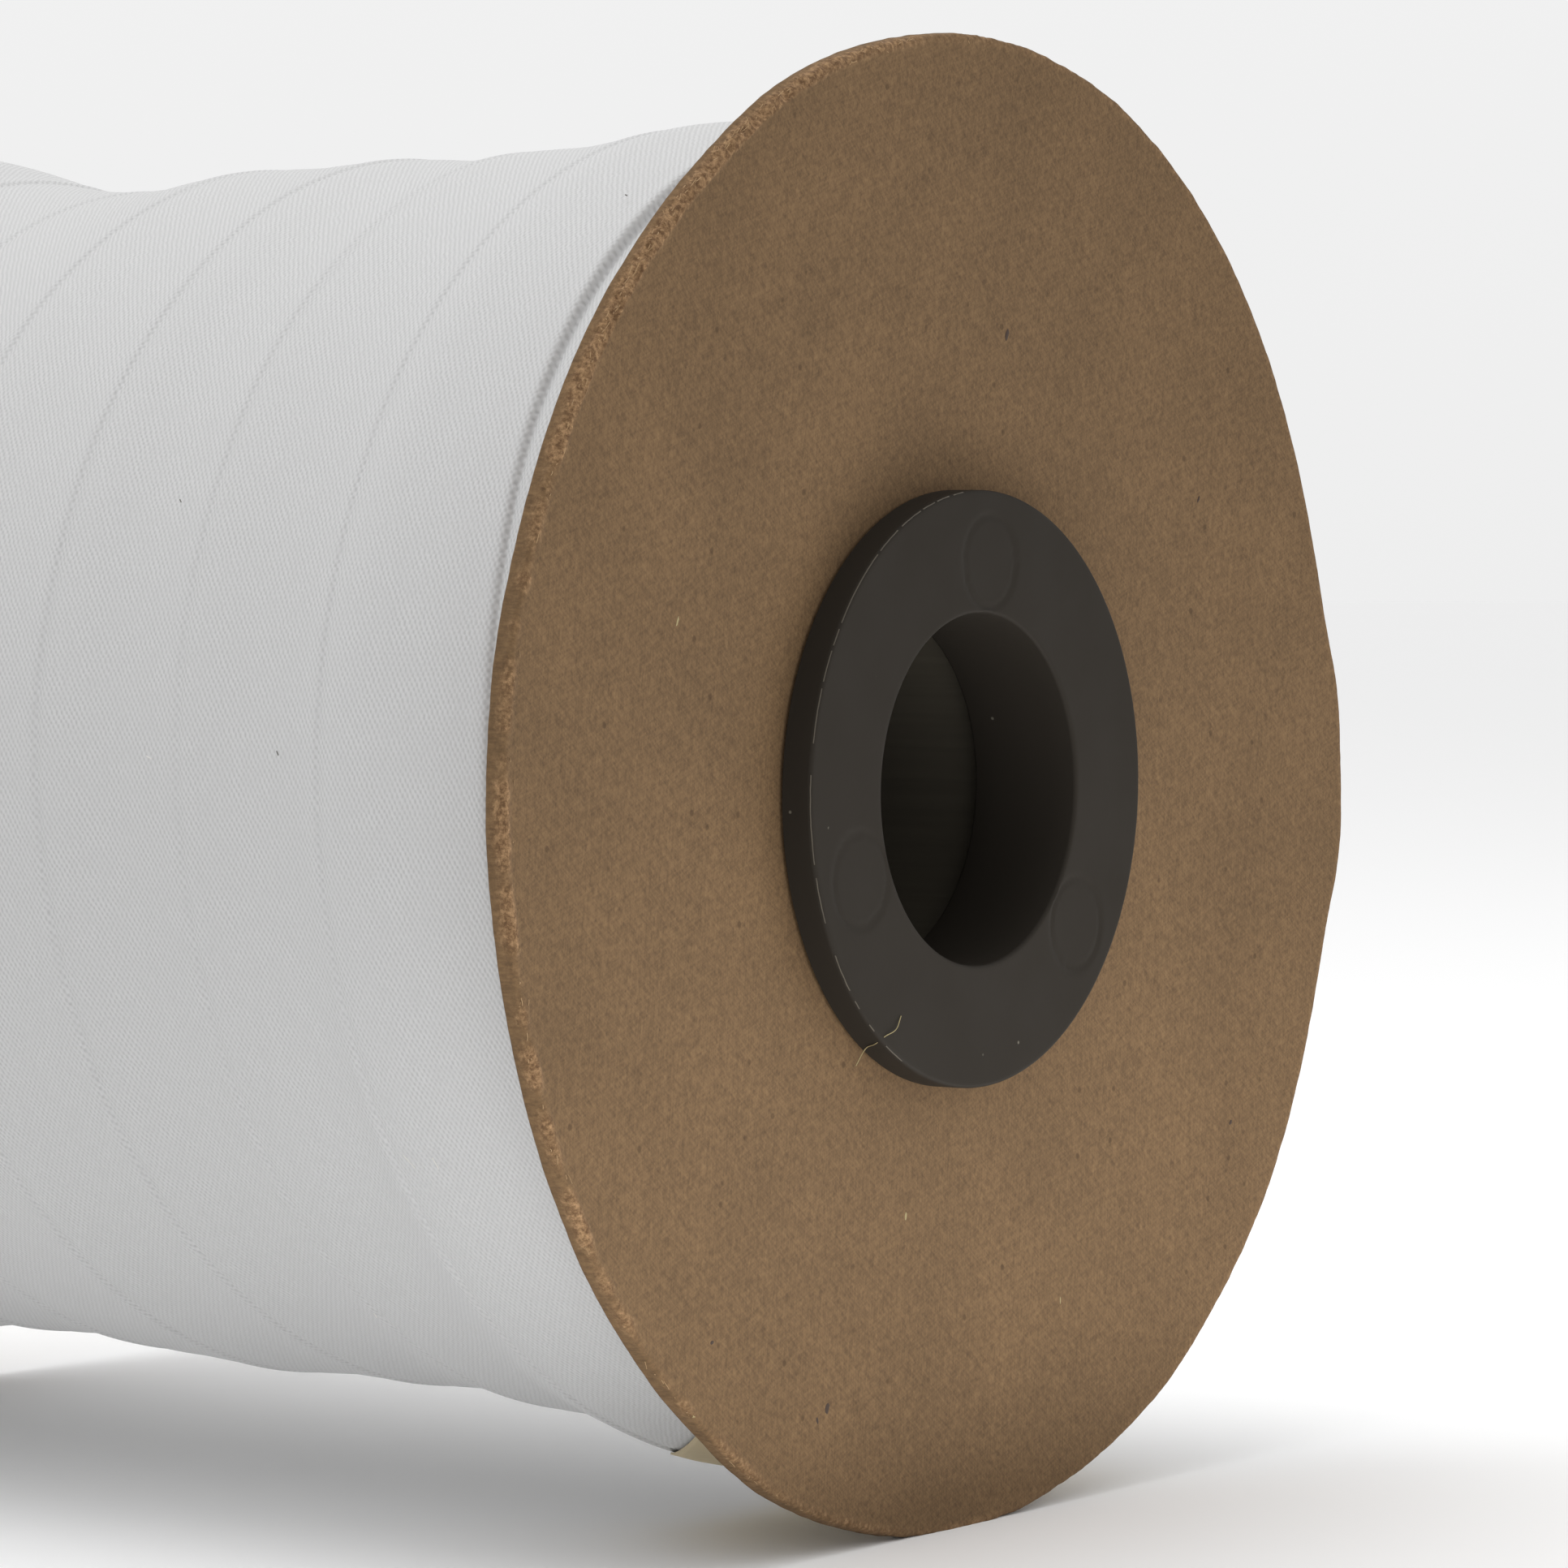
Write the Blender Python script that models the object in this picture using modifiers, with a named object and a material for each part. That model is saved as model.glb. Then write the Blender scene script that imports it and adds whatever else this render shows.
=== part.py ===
"""Roll of bias tape on a flanged spool.

The spool lies on its side with its axis along X. Its origin is under its middle, on the surface it rests on.
Units are metres. Distances along the roll are measured from the inner face of the right-hand board.
"""

import math

import bmesh
import bpy

MM = 0.001
GAP = 0.3 * MM

# Spool
BOARD_RADIUS = 54.0 * MM
BOARD_THICKNESS = 1.5 * MM
# The tape presses the boards apart, so each is bent outwards from the hub's ring to the rim
BOARD_DISH = 1.1 * MM
BOARD_RINGS = (28.0 * MM, 36.0 * MM, 44.0 * MM)
BOARD_EDGE_ROUND = 0.3 * MM
BOARD_STEPS = 60
REST_FLAT_WIDTH = 14.0 * MM
INNER_WIDTH = 110.0 * MM
BORE_RADIUS = 12.7 * MM
SLEEVE_WALL = 1.8 * MM
SLEEVE_DEPTH = 9.0 * MM
RING_RADIUS = 21.55 * MM
RING_THICKNESS = 2.4 * MM
PLASTIC_EDGE_ROUND = 0.3 * MM
TUBE_WALL = 2.0 * MM
TURNED_STEPS = 40

# Worn stretch of the right-hand board's rim, in degrees up from the front
WORN_FROM, WORN_TO = 26.0, 74.0
WORN_DEPTH = 0.6 * MM
WORN_RIPPLE = 0.3
WORN_RIPPLES = 4.5

# Tape
ROLL_COLUMNS = 48
# Places across one lap, from its right-hand fold to the next one, with the share of the fold's height and of
# the crown that each has
LAP_SECTION = (
    # across, fold, crown
    (0.00, -1.0, 0.00),
    (0.04, -0.2, 0.15),
    (0.14, 0.0, 0.60),
    (0.36, 0.0, 1.00),
    (0.62, 0.0, 0.90),
    (0.86, -0.4, 0.30),
)
# Each turn of tape: where its right-hand fold lies as it passes the front, how far the fold stands above the
# lap beside it, and how far the lap's middle bulges, or dips where that is negative. The first and last rows
# lie past the boards and are cut away.
TURNS = (
    # turn, edge_mm, fold_mm, crown_mm
    (-3, -25.0, 0.40, -0.20),
    (-2, -10.6, 0.40, -0.20),
    (-1, 2.5, 0.60, -0.20),
    (0, 18.0, 0.45, -0.30),
    (1, 31.8, 0.30, -0.35),
    (2, 45.0, 0.45, -0.35),
    (3, 58.0, 0.40, -0.35),
    (4, 70.8, 0.45, -0.30),
    (5, 83.0, 0.45, -0.25),
    (6, 95.0, 0.45, -0.25),
    (7, 107.0, 0.40, -0.20),
    (8, 119.0, 0.40, -0.20),
    (9, 132.0, 0.40, -0.20),
    (10, 145.0, 0.40, -0.20),
    (11, 158.0, 0.40, -0.20),
)
FIRST_TURN, LAST_TURN = -2, 9
END_FAN_REACH = 40.0 * MM
# The roll is fullest at the boards and dips between them. Its lift is how much farther out it lies at the top
# than at mid height, and how much less far below.
WOUND_PROFILE = (
    # along_mm, radius_mm, lift_mm
    (0.0, 49.60, -0.30),
    (12.0, 49.40, -0.50),
    (16.0, 49.00, -0.20),
    (20.0, 48.10, 0.15),
    (26.0, 47.50, 0.15),
    (32.0, 46.95, 0.25),
    (38.0, 46.65, 0.25),
    (44.0, 46.65, 0.30),
    (50.0, 46.60, 0.27),
    (56.0, 46.50, 0.20),
    (62.0, 46.15, 0.15),
    (66.0, 45.65, 0.10),
    (72.0, 45.15, 0.10),
    (78.0, 45.30, 0.35),
    (82.0, 45.45, 0.55),
    (86.0, 46.00, 0.85),
    (91.0, 47.00, 1.35),
    (95.0, 47.60, 1.40),
    (102.0, 48.70, 0.70),
    (110.0, 49.30, 0.00),
)
FOLD_BOW = 0.9 * MM

# Paper tab on the tape, under the right-hand board. Its front end is cut at a slant that would reach the board
# at the slant angle.
TAB_FROM, TAB_TO = -0.5 * MM, 13.6 * MM
TAB_LOW_ANGLE, TAB_HIGH_ANGLE = -124.0, -60.0
TAB_SLANT_ANGLE, TAB_SLANT = -57.6, 0.88 * MM
TAB_THICKNESS = 1.0 * MM
TAB_RADIUS = 50.6 * MM
TAB_STEPS = 14

# Sizes worked out from the ones above
AXIS_HEIGHT = math.sqrt(BOARD_RADIUS**2 - (REST_FLAT_WIDTH / 2) ** 2)
HALF_INNER = INNER_WIDTH / 2
BOARD_CENTRE = HALF_INNER + BOARD_THICKNESS / 2
RING_BACK = HALF_INNER + BOARD_THICKNESS + GAP
RING_FRONT = RING_BACK + RING_THICKNESS
SLEEVE_RADIUS = BORE_RADIUS + SLEEVE_WALL
SOCKET_RADIUS = SLEEVE_RADIUS + GAP
TUBE_RADIUS = SOCKET_RADIUS + TUBE_WALL
ALONG_X = (0.0, math.radians(90), 0.0)
FACING_LEFT = (0.0, math.radians(-90), 0.0)


def srgb(hex_colour):
    """Linear colour from an sRGB hex value."""
    parts = [int(hex_colour[i : i + 2], 16) / 255 for i in (0, 2, 4)]
    return [p / 12.92 if p <= 0.04045 else ((p + 0.055) / 1.055) ** 2.4 for p in parts] + [1.0]


def material(name, hex_colour, roughness):
    made = bpy.data.materials.new(name)
    made.use_nodes = True
    shader = made.node_tree.nodes["Principled BSDF"]
    shader.inputs["Base Color"].default_value = srgb(hex_colour)
    shader.inputs["Roughness"].default_value = roughness
    shader.inputs["Metallic"].default_value = 0.0
    return made


def collection(name, rendered=True):
    made = bpy.data.collections.new(name)
    made.hide_render = not rendered
    bpy.context.scene.collection.children.link(made)
    return made


def add_object(name, mesh, home, finish=None):
    made = bpy.data.objects.new(name, mesh)
    home.objects.link(made)
    if finish:
        mesh.materials.append(finish)
    return made


def shade_round(obj, degrees=32):
    obj.data.shade_smooth()
    obj.data.set_sharp_from_angle(angle=math.radians(degrees))


def turned(name, profile, steps, home, finish=None):
    """A ring turned from a closed profile of (radius, along) points that runs down its outer side."""
    mesh = bpy.data.meshes.new(name)
    count = len(profile)
    mesh.from_pydata(
        [(radius, 0.0, along) for radius, along in profile],
        [(i, (i + 1) % count) for i in range(count)],
        [],
    )
    made = add_object(name, mesh, home, finish)
    screw = made.modifiers.new("Turned", "SCREW")
    screw.axis = "Z"
    screw.angle = math.radians(360)
    screw.steps = screw.render_steps = steps
    screw.use_merge_vertices = True
    screw.merge_threshold = 1e-6
    screw.use_smooth_shade = True
    return made


def as_mesh(obj):
    """The object with its modifiers made part of its mesh."""
    graph = bpy.context.evaluated_depsgraph_get()
    obj.data = bpy.data.meshes.new_from_object(obj.evaluated_get(graph))
    obj.modifiers.clear()
    return obj


def boolean(obj, cutter, operation):
    cut = obj.modifiers.new(cutter.name, "BOOLEAN")
    cut.operation = operation
    cut.solver = "EXACT"
    cut.object = cutter
    return cut


def as_cutter(obj):
    obj.hide_render = True
    obj.display_type = "WIRE"
    return obj


def box_cutter(name, low, high, home):
    mesh = bpy.data.meshes.new(name)
    shape = bmesh.new()
    bmesh.ops.create_cube(shape, size=1.0)
    for vert in shape.verts:
        vert.co = [low[i] if vert.co[i] < 0 else high[i] for i in range(3)]
    shape.to_mesh(mesh)
    shape.free()
    return as_cutter(add_object(name, mesh, home))


def interpolate(value, places, values):
    """Straight-line interpolation, held level past both ends."""
    if value <= places[0]:
        return values[0]
    for i in range(1, len(places)):
        if value <= places[i]:
            share = (value - places[i - 1]) / (places[i] - places[i - 1])
            return values[i - 1] + share * (values[i] - values[i - 1])
    return values[-1]


def smoothstep(low, high, value):
    share = min(1.0, max(0.0, (value - low) / (high - low)))
    return share * share * (3 - 2 * share)


# Spool boards


def dish(radius):
    """How far a board is bent outwards at a radius."""
    share = max(0.0, (radius - RING_RADIUS) / (BOARD_RADIUS - RING_RADIUS))
    return BOARD_DISH * share**1.4


def board_profile():
    half = BOARD_THICKNESS / 2
    rings = (SOCKET_RADIUS, RING_RADIUS, *BOARD_RINGS)
    rim = [
        (BOARD_RADIUS - BOARD_EDGE_ROUND, half),
        (BOARD_RADIUS, half - BOARD_EDGE_ROUND),
        (BOARD_RADIUS, -half + BOARD_EDGE_ROUND),
        (BOARD_RADIUS - BOARD_EDGE_ROUND, -half),
    ]
    inner_face = [(radius, -half) for radius in reversed(rings)]
    outer_face = [(radius, half) for radius in rings]
    return [(radius, along + dish(radius)) for radius, along in rim + inner_face + outer_face]


def wear_rim(board):
    """Beats in the outer corner of the rim along the worn stretch, deepest in its middle."""
    for vert in board.data.vertices:
        radius = math.hypot(vert.co.x, vert.co.y)
        if radius < BOARD_RADIUS - 2 * BOARD_EDGE_ROUND or vert.co.z < dish(radius):
            continue
        # Local +X points down once the board stands on its edge, and local +Y points to the back
        up_from_front = math.degrees(math.atan2(-vert.co.x, -vert.co.y))
        into = (up_from_front - WORN_FROM) / (WORN_TO - WORN_FROM)
        if not 0.0 < into < 1.0:
            continue
        ripple = 1 - WORN_RIPPLE + WORN_RIPPLE * math.sin(2 * math.pi * WORN_RIPPLES * into)
        depth = WORN_DEPTH * math.sin(math.pi * into) * ripple
        vert.co.x -= vert.co.x / radius * depth
        vert.co.y -= vert.co.y / radius * depth


def make_board(name, side, finish, home, floor_cut):
    board = turned(name, board_profile(), BOARD_STEPS, home, finish)
    as_mesh(board)
    if side > 0:
        wear_rim(board)
    board.rotation_euler = ALONG_X if side > 0 else FACING_LEFT
    board.location = (side * BOARD_CENTRE, 0.0, AXIS_HEIGHT)
    boolean(board, floor_cut, "DIFFERENCE")
    shade_round(board)
    return board


# Plastic hub plugs and the tube between them


def hub_profile():
    edge = PLASTIC_EDGE_ROUND
    end = RING_FRONT - SLEEVE_DEPTH
    return [
        (RING_RADIUS - edge, RING_FRONT),
        (RING_RADIUS, RING_FRONT - edge),
        (RING_RADIUS, RING_BACK),
        (SLEEVE_RADIUS, RING_BACK),
        (SLEEVE_RADIUS, end + edge),
        (SLEEVE_RADIUS - edge, end),
        (BORE_RADIUS, end),
        (BORE_RADIUS, RING_FRONT - edge),
        (BORE_RADIUS + edge, RING_FRONT),
    ]


def make_hub(name, side, finish, home):
    hub = turned(name, hub_profile(), TURNED_STEPS, home, finish)
    hub.rotation_euler = ALONG_X if side > 0 else FACING_LEFT
    hub.location = (0.0, 0.0, AXIS_HEIGHT)
    return hub


def make_tube(name, finish, home):
    half = HALF_INNER - GAP
    profile = [(TUBE_RADIUS, half), (TUBE_RADIUS, -half), (SOCKET_RADIUS, -half), (SOCKET_RADIUS, half)]
    tube = turned(name, profile, TURNED_STEPS, home, finish)
    tube.rotation_euler = ALONG_X
    tube.location = (0.0, 0.0, AXIS_HEIGHT)
    return tube


# Wound tape


def table_value(table, place, column):
    """A column of a table at a place along its first column, which need not be a row's own."""
    return interpolate(place, [row[0] for row in table], [row[column] for row in table])


def wound_radius(along, angle):
    """Radius of the roll without its laps."""
    radius = table_value(WOUND_PROFILE, along / MM, 1)
    lift = table_value(WOUND_PROFILE, along / MM, 2)
    return (radius + lift * math.sin(angle)) * MM


def tape_point(turn, section, angle):
    """A point of the tape's surface: the turn's number, its place across the lap, and the angle up from the
    front. Turns advance by one lap in each full circle, so a turn's end meets the start of the next one."""
    across, fold_share, crown_share = section
    passed = turn + angle / (2 * math.pi)
    edge = table_value(TURNS, passed, 1)
    width = table_value(TURNS, passed + 1, 1) - edge
    bow = FOLD_BOW * (1 - math.cos(2 * angle))
    along = (edge + across * width) * MM - bow
    fold = table_value(TURNS, passed + across, 2)
    crown = table_value(TURNS, passed + across, 3)
    relief = fold_share * fold + crown_share * crown
    radius = wound_radius(along, angle) + relief * MM
    return (
        HALF_INNER - along,
        -radius * math.cos(angle),
        AXIS_HEIGHT + radius * math.sin(angle),
    )


def tape_surface():
    """Points and faces of the wound tape, longer than the spool at both ends and closed by a fan at each."""
    sections = len(LAP_SECTION)
    stations = (LAST_TURN - FIRST_TURN) * sections + 1
    points = []
    for column in range(ROLL_COLUMNS):
        angle = math.radians(-180 + 360 * column / ROLL_COLUMNS)
        for station in range(stations):
            turn = FIRST_TURN + station // sections
            points.append(tape_point(turn, LAP_SECTION[station % sections], angle))

    def index(column, station):
        return column * stations + station

    faces = []
    for column in range(ROLL_COLUMNS - 1):
        for station in range(stations - 1):
            faces.append(
                (
                    index(column, station),
                    index(column + 1, station),
                    index(column + 1, station + 1),
                    index(column, station + 1),
                )
            )
    last = ROLL_COLUMNS - 1
    for station in range(stations - 1 - sections):
        faces.append(
            (
                index(last, station),
                index(0, station + sections),
                index(0, station + sections + 1),
                index(last, station + 1),
            )
        )
    near_rim = [index(column, 0) for column in range(ROLL_COLUMNS)]
    near_rim += [index(0, station) for station in range(sections, 0, -1)]
    far_rim = [index(column, stations - 1) for column in range(ROLL_COLUMNS)]
    far_rim += [index(last, station) for station in range(stations - 2, stations - 2 - sections, -1)]
    for rim, along in ((near_rim, -END_FAN_REACH), (far_rim, INNER_WIDTH + END_FAN_REACH)):
        centre = len(points)
        points.append((HALF_INNER - along, 0.0, AXIS_HEIGHT))
        for i, point in enumerate(rim):
            faces.append((point, centre, rim[(i + 1) % len(rim)]))
    return points, faces


def make_tape_roll(name, finish, home, cutters):
    points, faces = tape_surface()
    mesh = bpy.data.meshes.new(name)
    mesh.from_pydata(points, [], faces)
    shape = bmesh.new()
    shape.from_mesh(mesh)
    bmesh.ops.recalc_face_normals(shape, faces=shape.faces)
    shape.to_mesh(mesh)
    shape.free()
    roll = add_object(name, mesh, home, finish)

    half = HALF_INNER - GAP
    rings = (TUBE_RADIUS + GAP, RING_RADIUS, *BOARD_RINGS, BOARD_RADIUS)
    profile = [(radius, half + dish(radius)) for radius in rings]
    profile += [(radius, -half - dish(radius)) for radius in reversed(rings)]
    between_boards = as_cutter(turned("between_boards", profile, TURNED_STEPS, cutters))
    between_boards.rotation_euler = ALONG_X
    between_boards.location = (0.0, 0.0, AXIS_HEIGHT)
    boolean(roll, between_boards, "INTERSECT")
    shade_round(roll, 50)
    return roll


# Paper tab


def make_tab(name, finish, home):
    """An arc of paper that follows the roll, as an open surface thickened outwards."""
    points = []
    for step in range(TAB_STEPS + 1):
        degrees = TAB_LOW_ANGLE + (TAB_HIGH_ANGLE - TAB_LOW_ANGLE) * step / TAB_STEPS
        angle = math.radians(degrees)
        for along in (TAB_FROM, min(TAB_TO, TAB_SLANT * (TAB_SLANT_ANGLE - degrees))):
            y = -TAB_RADIUS * math.cos(angle)
            z = AXIS_HEIGHT + TAB_RADIUS * math.sin(angle)
            points.append((HALF_INNER - along, y, z))
    faces = [(2 * i, 2 * i + 2, 2 * i + 3, 2 * i + 1) for i in range(TAB_STEPS)]
    mesh = bpy.data.meshes.new(name)
    mesh.from_pydata(points, [], faces)
    tab = add_object(name, mesh, home, finish)
    thick = tab.modifiers.new("Thickness", "SOLIDIFY")
    thick.thickness = TAB_THICKNESS
    thick.offset = 1.0
    shade_round(tab)
    return tab


def main():
    for obj in list(bpy.data.objects):
        bpy.data.objects.remove(obj, do_unlink=True)
    bpy.context.scene.unit_settings.scale_length = 1.0

    home = collection("bias_tape_roll")
    cutters = collection("cutters", rendered=False)

    cloth = material("bleached_cotton", "dcdcdc", 0.85)
    board = material("kraft_chipboard", "7d6448", 0.9)
    plastic = material("moulded_plastic", "35322d", 0.45)
    tube = material("dark_core_tube", "26231f", 0.7)
    paper = material("masking_paper", "c9b99c", 0.7)

    reach = 2 * BOARD_RADIUS
    floor_cut = box_cutter("floor_cut", (-reach, -reach, -reach), (reach, reach, 0.0), cutters)

    make_board("board_right", 1, board, home, floor_cut)
    make_board("board_left", -1, board, home, floor_cut)
    make_hub("hub_right", 1, plastic, home)
    make_hub("hub_left", -1, plastic, home)
    make_tube("core_tube", tube, home)
    make_tape_roll("tape_roll", cloth, home, cutters)
    make_tab("paper_tab", paper, home)


main()
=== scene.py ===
"""Roll of bias tape on a flanged spool, with its finishes and a small studio.

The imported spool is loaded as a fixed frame. Finer pieces then stand for its solids, every surface gets its
finish, and the stage gets floor, lamps and camera. Lengths are metres. Angles round the spool start at the
front, where -Y is, and rise over the top. Distances along the roll start at the right-hand board's inner
face.
"""

import math
import random

import bmesh
import bpy
from bpy.props import FloatProperty, FloatVectorProperty, IntProperty, PointerProperty
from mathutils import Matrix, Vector, noise


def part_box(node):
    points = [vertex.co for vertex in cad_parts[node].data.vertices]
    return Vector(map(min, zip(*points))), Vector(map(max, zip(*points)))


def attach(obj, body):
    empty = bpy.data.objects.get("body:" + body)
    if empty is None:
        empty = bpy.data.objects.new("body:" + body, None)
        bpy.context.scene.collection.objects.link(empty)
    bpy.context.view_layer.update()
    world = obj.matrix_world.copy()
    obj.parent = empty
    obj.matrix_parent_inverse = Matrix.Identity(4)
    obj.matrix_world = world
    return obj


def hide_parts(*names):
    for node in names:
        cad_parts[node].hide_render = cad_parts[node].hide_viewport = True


bl_info = {
    "name": "Bias Tape Roll",
    "version": (1, 0, 0),
    "blender": (4, 5, 0),
    "location": "View3D > Sidebar > Bias Tape",
    "description": "Dresses a spool of wound bias tape with its cloth, kraft boards and plastic hub",
    "category": "Add Mesh",
}

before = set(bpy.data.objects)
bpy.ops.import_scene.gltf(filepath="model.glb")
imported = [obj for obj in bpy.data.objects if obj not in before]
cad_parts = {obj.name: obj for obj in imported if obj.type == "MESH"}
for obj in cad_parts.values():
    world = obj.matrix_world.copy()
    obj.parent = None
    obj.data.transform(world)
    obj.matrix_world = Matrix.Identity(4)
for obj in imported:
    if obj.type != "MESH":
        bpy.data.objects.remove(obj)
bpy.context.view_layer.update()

MM = 0.001
FULL_TURN = 2 * math.pi

# Sizes that the frame gives
BOARD_LOW, BOARD_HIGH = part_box("board_right")
HUB_LOW, HUB_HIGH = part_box("hub_right")
TUBE_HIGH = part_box("core_tube")[1]
TAB_LOW, TAB_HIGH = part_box("paper_tab")
AXIS_HEIGHT = (HUB_LOW.z + HUB_HIGH.z) / 2
HALF_INNER = BOARD_LOW.x
BOARD_RADIUS = BOARD_HIGH.y
BOARD_THICKNESS = 1.5 * MM
BOARD_FACE = HALF_INNER + BOARD_THICKNESS
BOARD_DISH = 1.1 * MM
RING_RADIUS = HUB_HIGH.y
RING_FRONT = HUB_HIGH.x
SLEEVE_END = HUB_LOW.x
GAP = HALF_INNER - TUBE_HIGH.x
SOCKET_RADIUS = TUBE_HIGH.y - 2.0 * MM
ROLL_BORE = TUBE_HIGH.y + GAP
END_TRIM_RADIUS = 48.9 * MM
MEAN_WOUND_RADIUS = 48.0 * MM

# Each turn of tape: where its right-hand fold lies as it passes the front, how far the fold stands above the
# lap beside it, and how far the lap's middle bulges, or dips where that is negative. The first and last rows
# lie past the boards and are cut away.
TURNS = (
    # turn, edge_mm, fold_mm, crown_mm
    (-3, -25.0, 0.40, -0.20),
    (-2, -10.6, 0.40, -0.20),
    (-1, 2.5, 0.60, -0.20),
    (0, 18.0, 0.45, -0.30),
    (1, 31.8, 0.30, -0.35),
    (2, 45.0, 0.45, -0.35),
    (3, 58.0, 0.40, -0.35),
    (4, 70.8, 0.45, -0.30),
    (5, 83.0, 0.45, -0.25),
    (6, 95.0, 0.45, -0.25),
    (7, 107.0, 0.40, -0.20),
    (8, 119.0, 0.40, -0.20),
    (9, 132.0, 0.40, -0.20),
    (10, 145.0, 0.40, -0.20),
    (11, 158.0, 0.40, -0.20),
)
FIRST_TURN, LAST_TURN = -2, 9
# The roll is fullest at the boards and dips between them. Its lift is how much farther out it lies at the top
# than at mid height, and how much less far below.
WOUND_PROFILE = (
    # along_mm, radius_mm, lift_mm
    (0.0, 49.60, -0.30),
    (12.0, 49.40, -0.50),
    (16.0, 49.00, -0.20),
    (20.0, 48.10, 0.15),
    (26.0, 47.50, 0.15),
    (32.0, 46.95, 0.25),
    (38.0, 46.65, 0.25),
    (44.0, 46.65, 0.30),
    (50.0, 46.60, 0.27),
    (56.0, 46.50, 0.20),
    (62.0, 46.15, 0.15),
    (66.0, 45.65, 0.10),
    (72.0, 45.15, 0.10),
    (78.0, 45.30, 0.35),
    (82.0, 45.45, 0.55),
    (86.0, 46.00, 0.85),
    (91.0, 47.00, 1.35),
    (95.0, 47.60, 1.40),
    (102.0, 48.70, 0.70),
    (110.0, 49.30, 0.00),
)
# At the top and bottom of the roll each fold lies nearer the right-hand board than at the front, by twice this
FOLD_BOW = 0.9 * MM
# One fold has come loose beside the right-hand board, between these turns. There it has slipped away from the
# board and stands clear of the lap under it.
LOOSE_FROM, LOOSE_FULL, LOOSE_END = -0.985, -0.855, -0.70
LOOSE_SLIP_MM, LOOSE_CLEAR_MM = 2.0, 1.2

# Places across one lap, from its right-hand fold to the next one. Each lies a distance from the fold plus a
# share of the lap's width, and has shares of the fold's height, the crown and the groove behind the fold.
# Pulled tight, a fold steps up by half its height, and the lap under it sinks by the rest.
LAP_SECTION = (
    # from_fold_mm, across, fold, crown, groove
    (-0.32, 0.0, -0.47, 0.00, 0.00),
    (-0.20, 0.0, -0.50, 0.00, 0.00),
    (-0.10, 0.0, -0.47, 0.00, 0.00),
    (-0.01, 0.0, -0.36, 0.00, 0.00),
    (0.09, 0.0, -0.20, 0.01, 0.00),
    (0.20, 0.0, -0.09, 0.02, 0.00),
    (0.36, 0.0, -0.03, 0.04, 0.00),
    (0.58, 0.0, 0.00, 0.07, 0.00),
    (0.85, 0.0, 0.00, 0.12, -0.08),
    (1.30, 0.0, 0.00, 0.18, -0.55),
    (1.85, 0.0, 0.00, 0.26, -1.00),
    (2.50, 0.0, 0.00, 0.38, -0.90),
    (3.30, 0.0, 0.00, 0.56, -0.50),
    (4.30, 0.0, 0.00, 0.76, -0.15),
    (0.0, 0.42, 0.00, 0.94, 0.00),
    (0.0, 0.52, 0.00, 1.00, 0.00),
    (0.0, 0.62, 0.00, 0.92, 0.00),
    (0.0, 0.71, -0.02, 0.74, 0.00),
    (0.0, 0.79, -0.08, 0.52, 0.00),
    (0.0, 0.86, -0.19, 0.30, 0.00),
    (0.0, 0.915, -0.32, 0.14, 0.00),
    (0.0, 0.950, -0.42, 0.05, 0.00),
)

# How the right-hand board's rim is beaten, round the spool: how far its corner is torn back, how high the
# cut's burr stands, and how much the edge is rounded over
RIM_WEAR = (
    # angle_deg, torn, burr, rolled
    (-100.0, 0.10, 0.25, 0.3),
    (-75.0, 0.30, 0.30, 0.2),
    (-50.0, 0.12, 0.55, 0.2),
    (-20.0, 0.05, 0.80, 0.2),
    (8.0, 0.08, 0.90, 0.2),
    (22.0, 0.25, 0.80, 0.2),
    (34.0, 0.75, 0.70, 0.2),
    (41.0, 1.00, 0.60, 0.1),
    (50.0, 0.85, 0.70, 0.1),
    (62.0, 0.90, 0.60, 0.1),
    (74.0, 0.55, 0.45, 0.2),
    (90.0, 0.20, 0.20, 0.5),
    (115.0, 0.08, 0.10, 1.0),
    (180.0, 0.05, 0.05, 1.0),
    (240.0, 0.10, 0.10, 0.8),
    (260.0, 0.10, 0.25, 0.3),
)

# How far the right-hand board's rim stands out from a true circle, round the spool
RIM_WAVES = (
    # angle_deg, out_mm
    (-64.0, -0.08),
    (-54.0, -0.45),
    (-46.0, -0.45),
    (-36.0, -0.28),
    (-24.0, -0.12),
    (-12.0, 0.10),
    (-4.0, 0.40),
    (4.0, 0.55),
    (12.0, 0.50),
    (18.0, 0.25),
    (27.0, 0.06),
    (36.0, -0.06),
    (46.0, -0.32),
    (56.0, -0.40),
    (66.0, -0.02),
    (78.0, 0.06),
    (90.0, 0.34),
    (102.0, 0.56),
    (114.0, 0.64),
    (124.0, 0.40),
    (134.0, 0.06),
    (143.0, -0.32),
    (151.0, -0.74),
    (161.0, -0.92),
    (168.0, -0.70),
    (174.0, 0.30),
    (180.0, 0.40),
    (185.0, 0.70),
    (189.0, 0.40),
    (194.0, -0.38),
    (201.0, -0.46),
    (209.0, -0.15),
    (217.0, 0.22),
    (228.0, 0.26),
    (238.0, 0.34),
    (247.0, 0.10),
    (256.0, -0.08),
    (270.0, -0.10),
    (284.0, -0.12),
    (296.0, -0.08),
)

# How many places along the rim are tried for a loose fibre; only torn or burred ones get it
RIM_FIBRE_TRIES = 420

# The paper tab runs round the roll between these angles. Its front end is cut at a slant, in metres along the
# roll for each radian round it, that would reach the board at the slant angle.
TAB_LOW_ANGLE, TAB_HIGH_ANGLE = math.radians(-124.0), math.radians(-60.0)
TAB_SLANT_ANGLE, TAB_SLANT = math.radians(-57.7), math.degrees(0.83 * MM)

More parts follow.
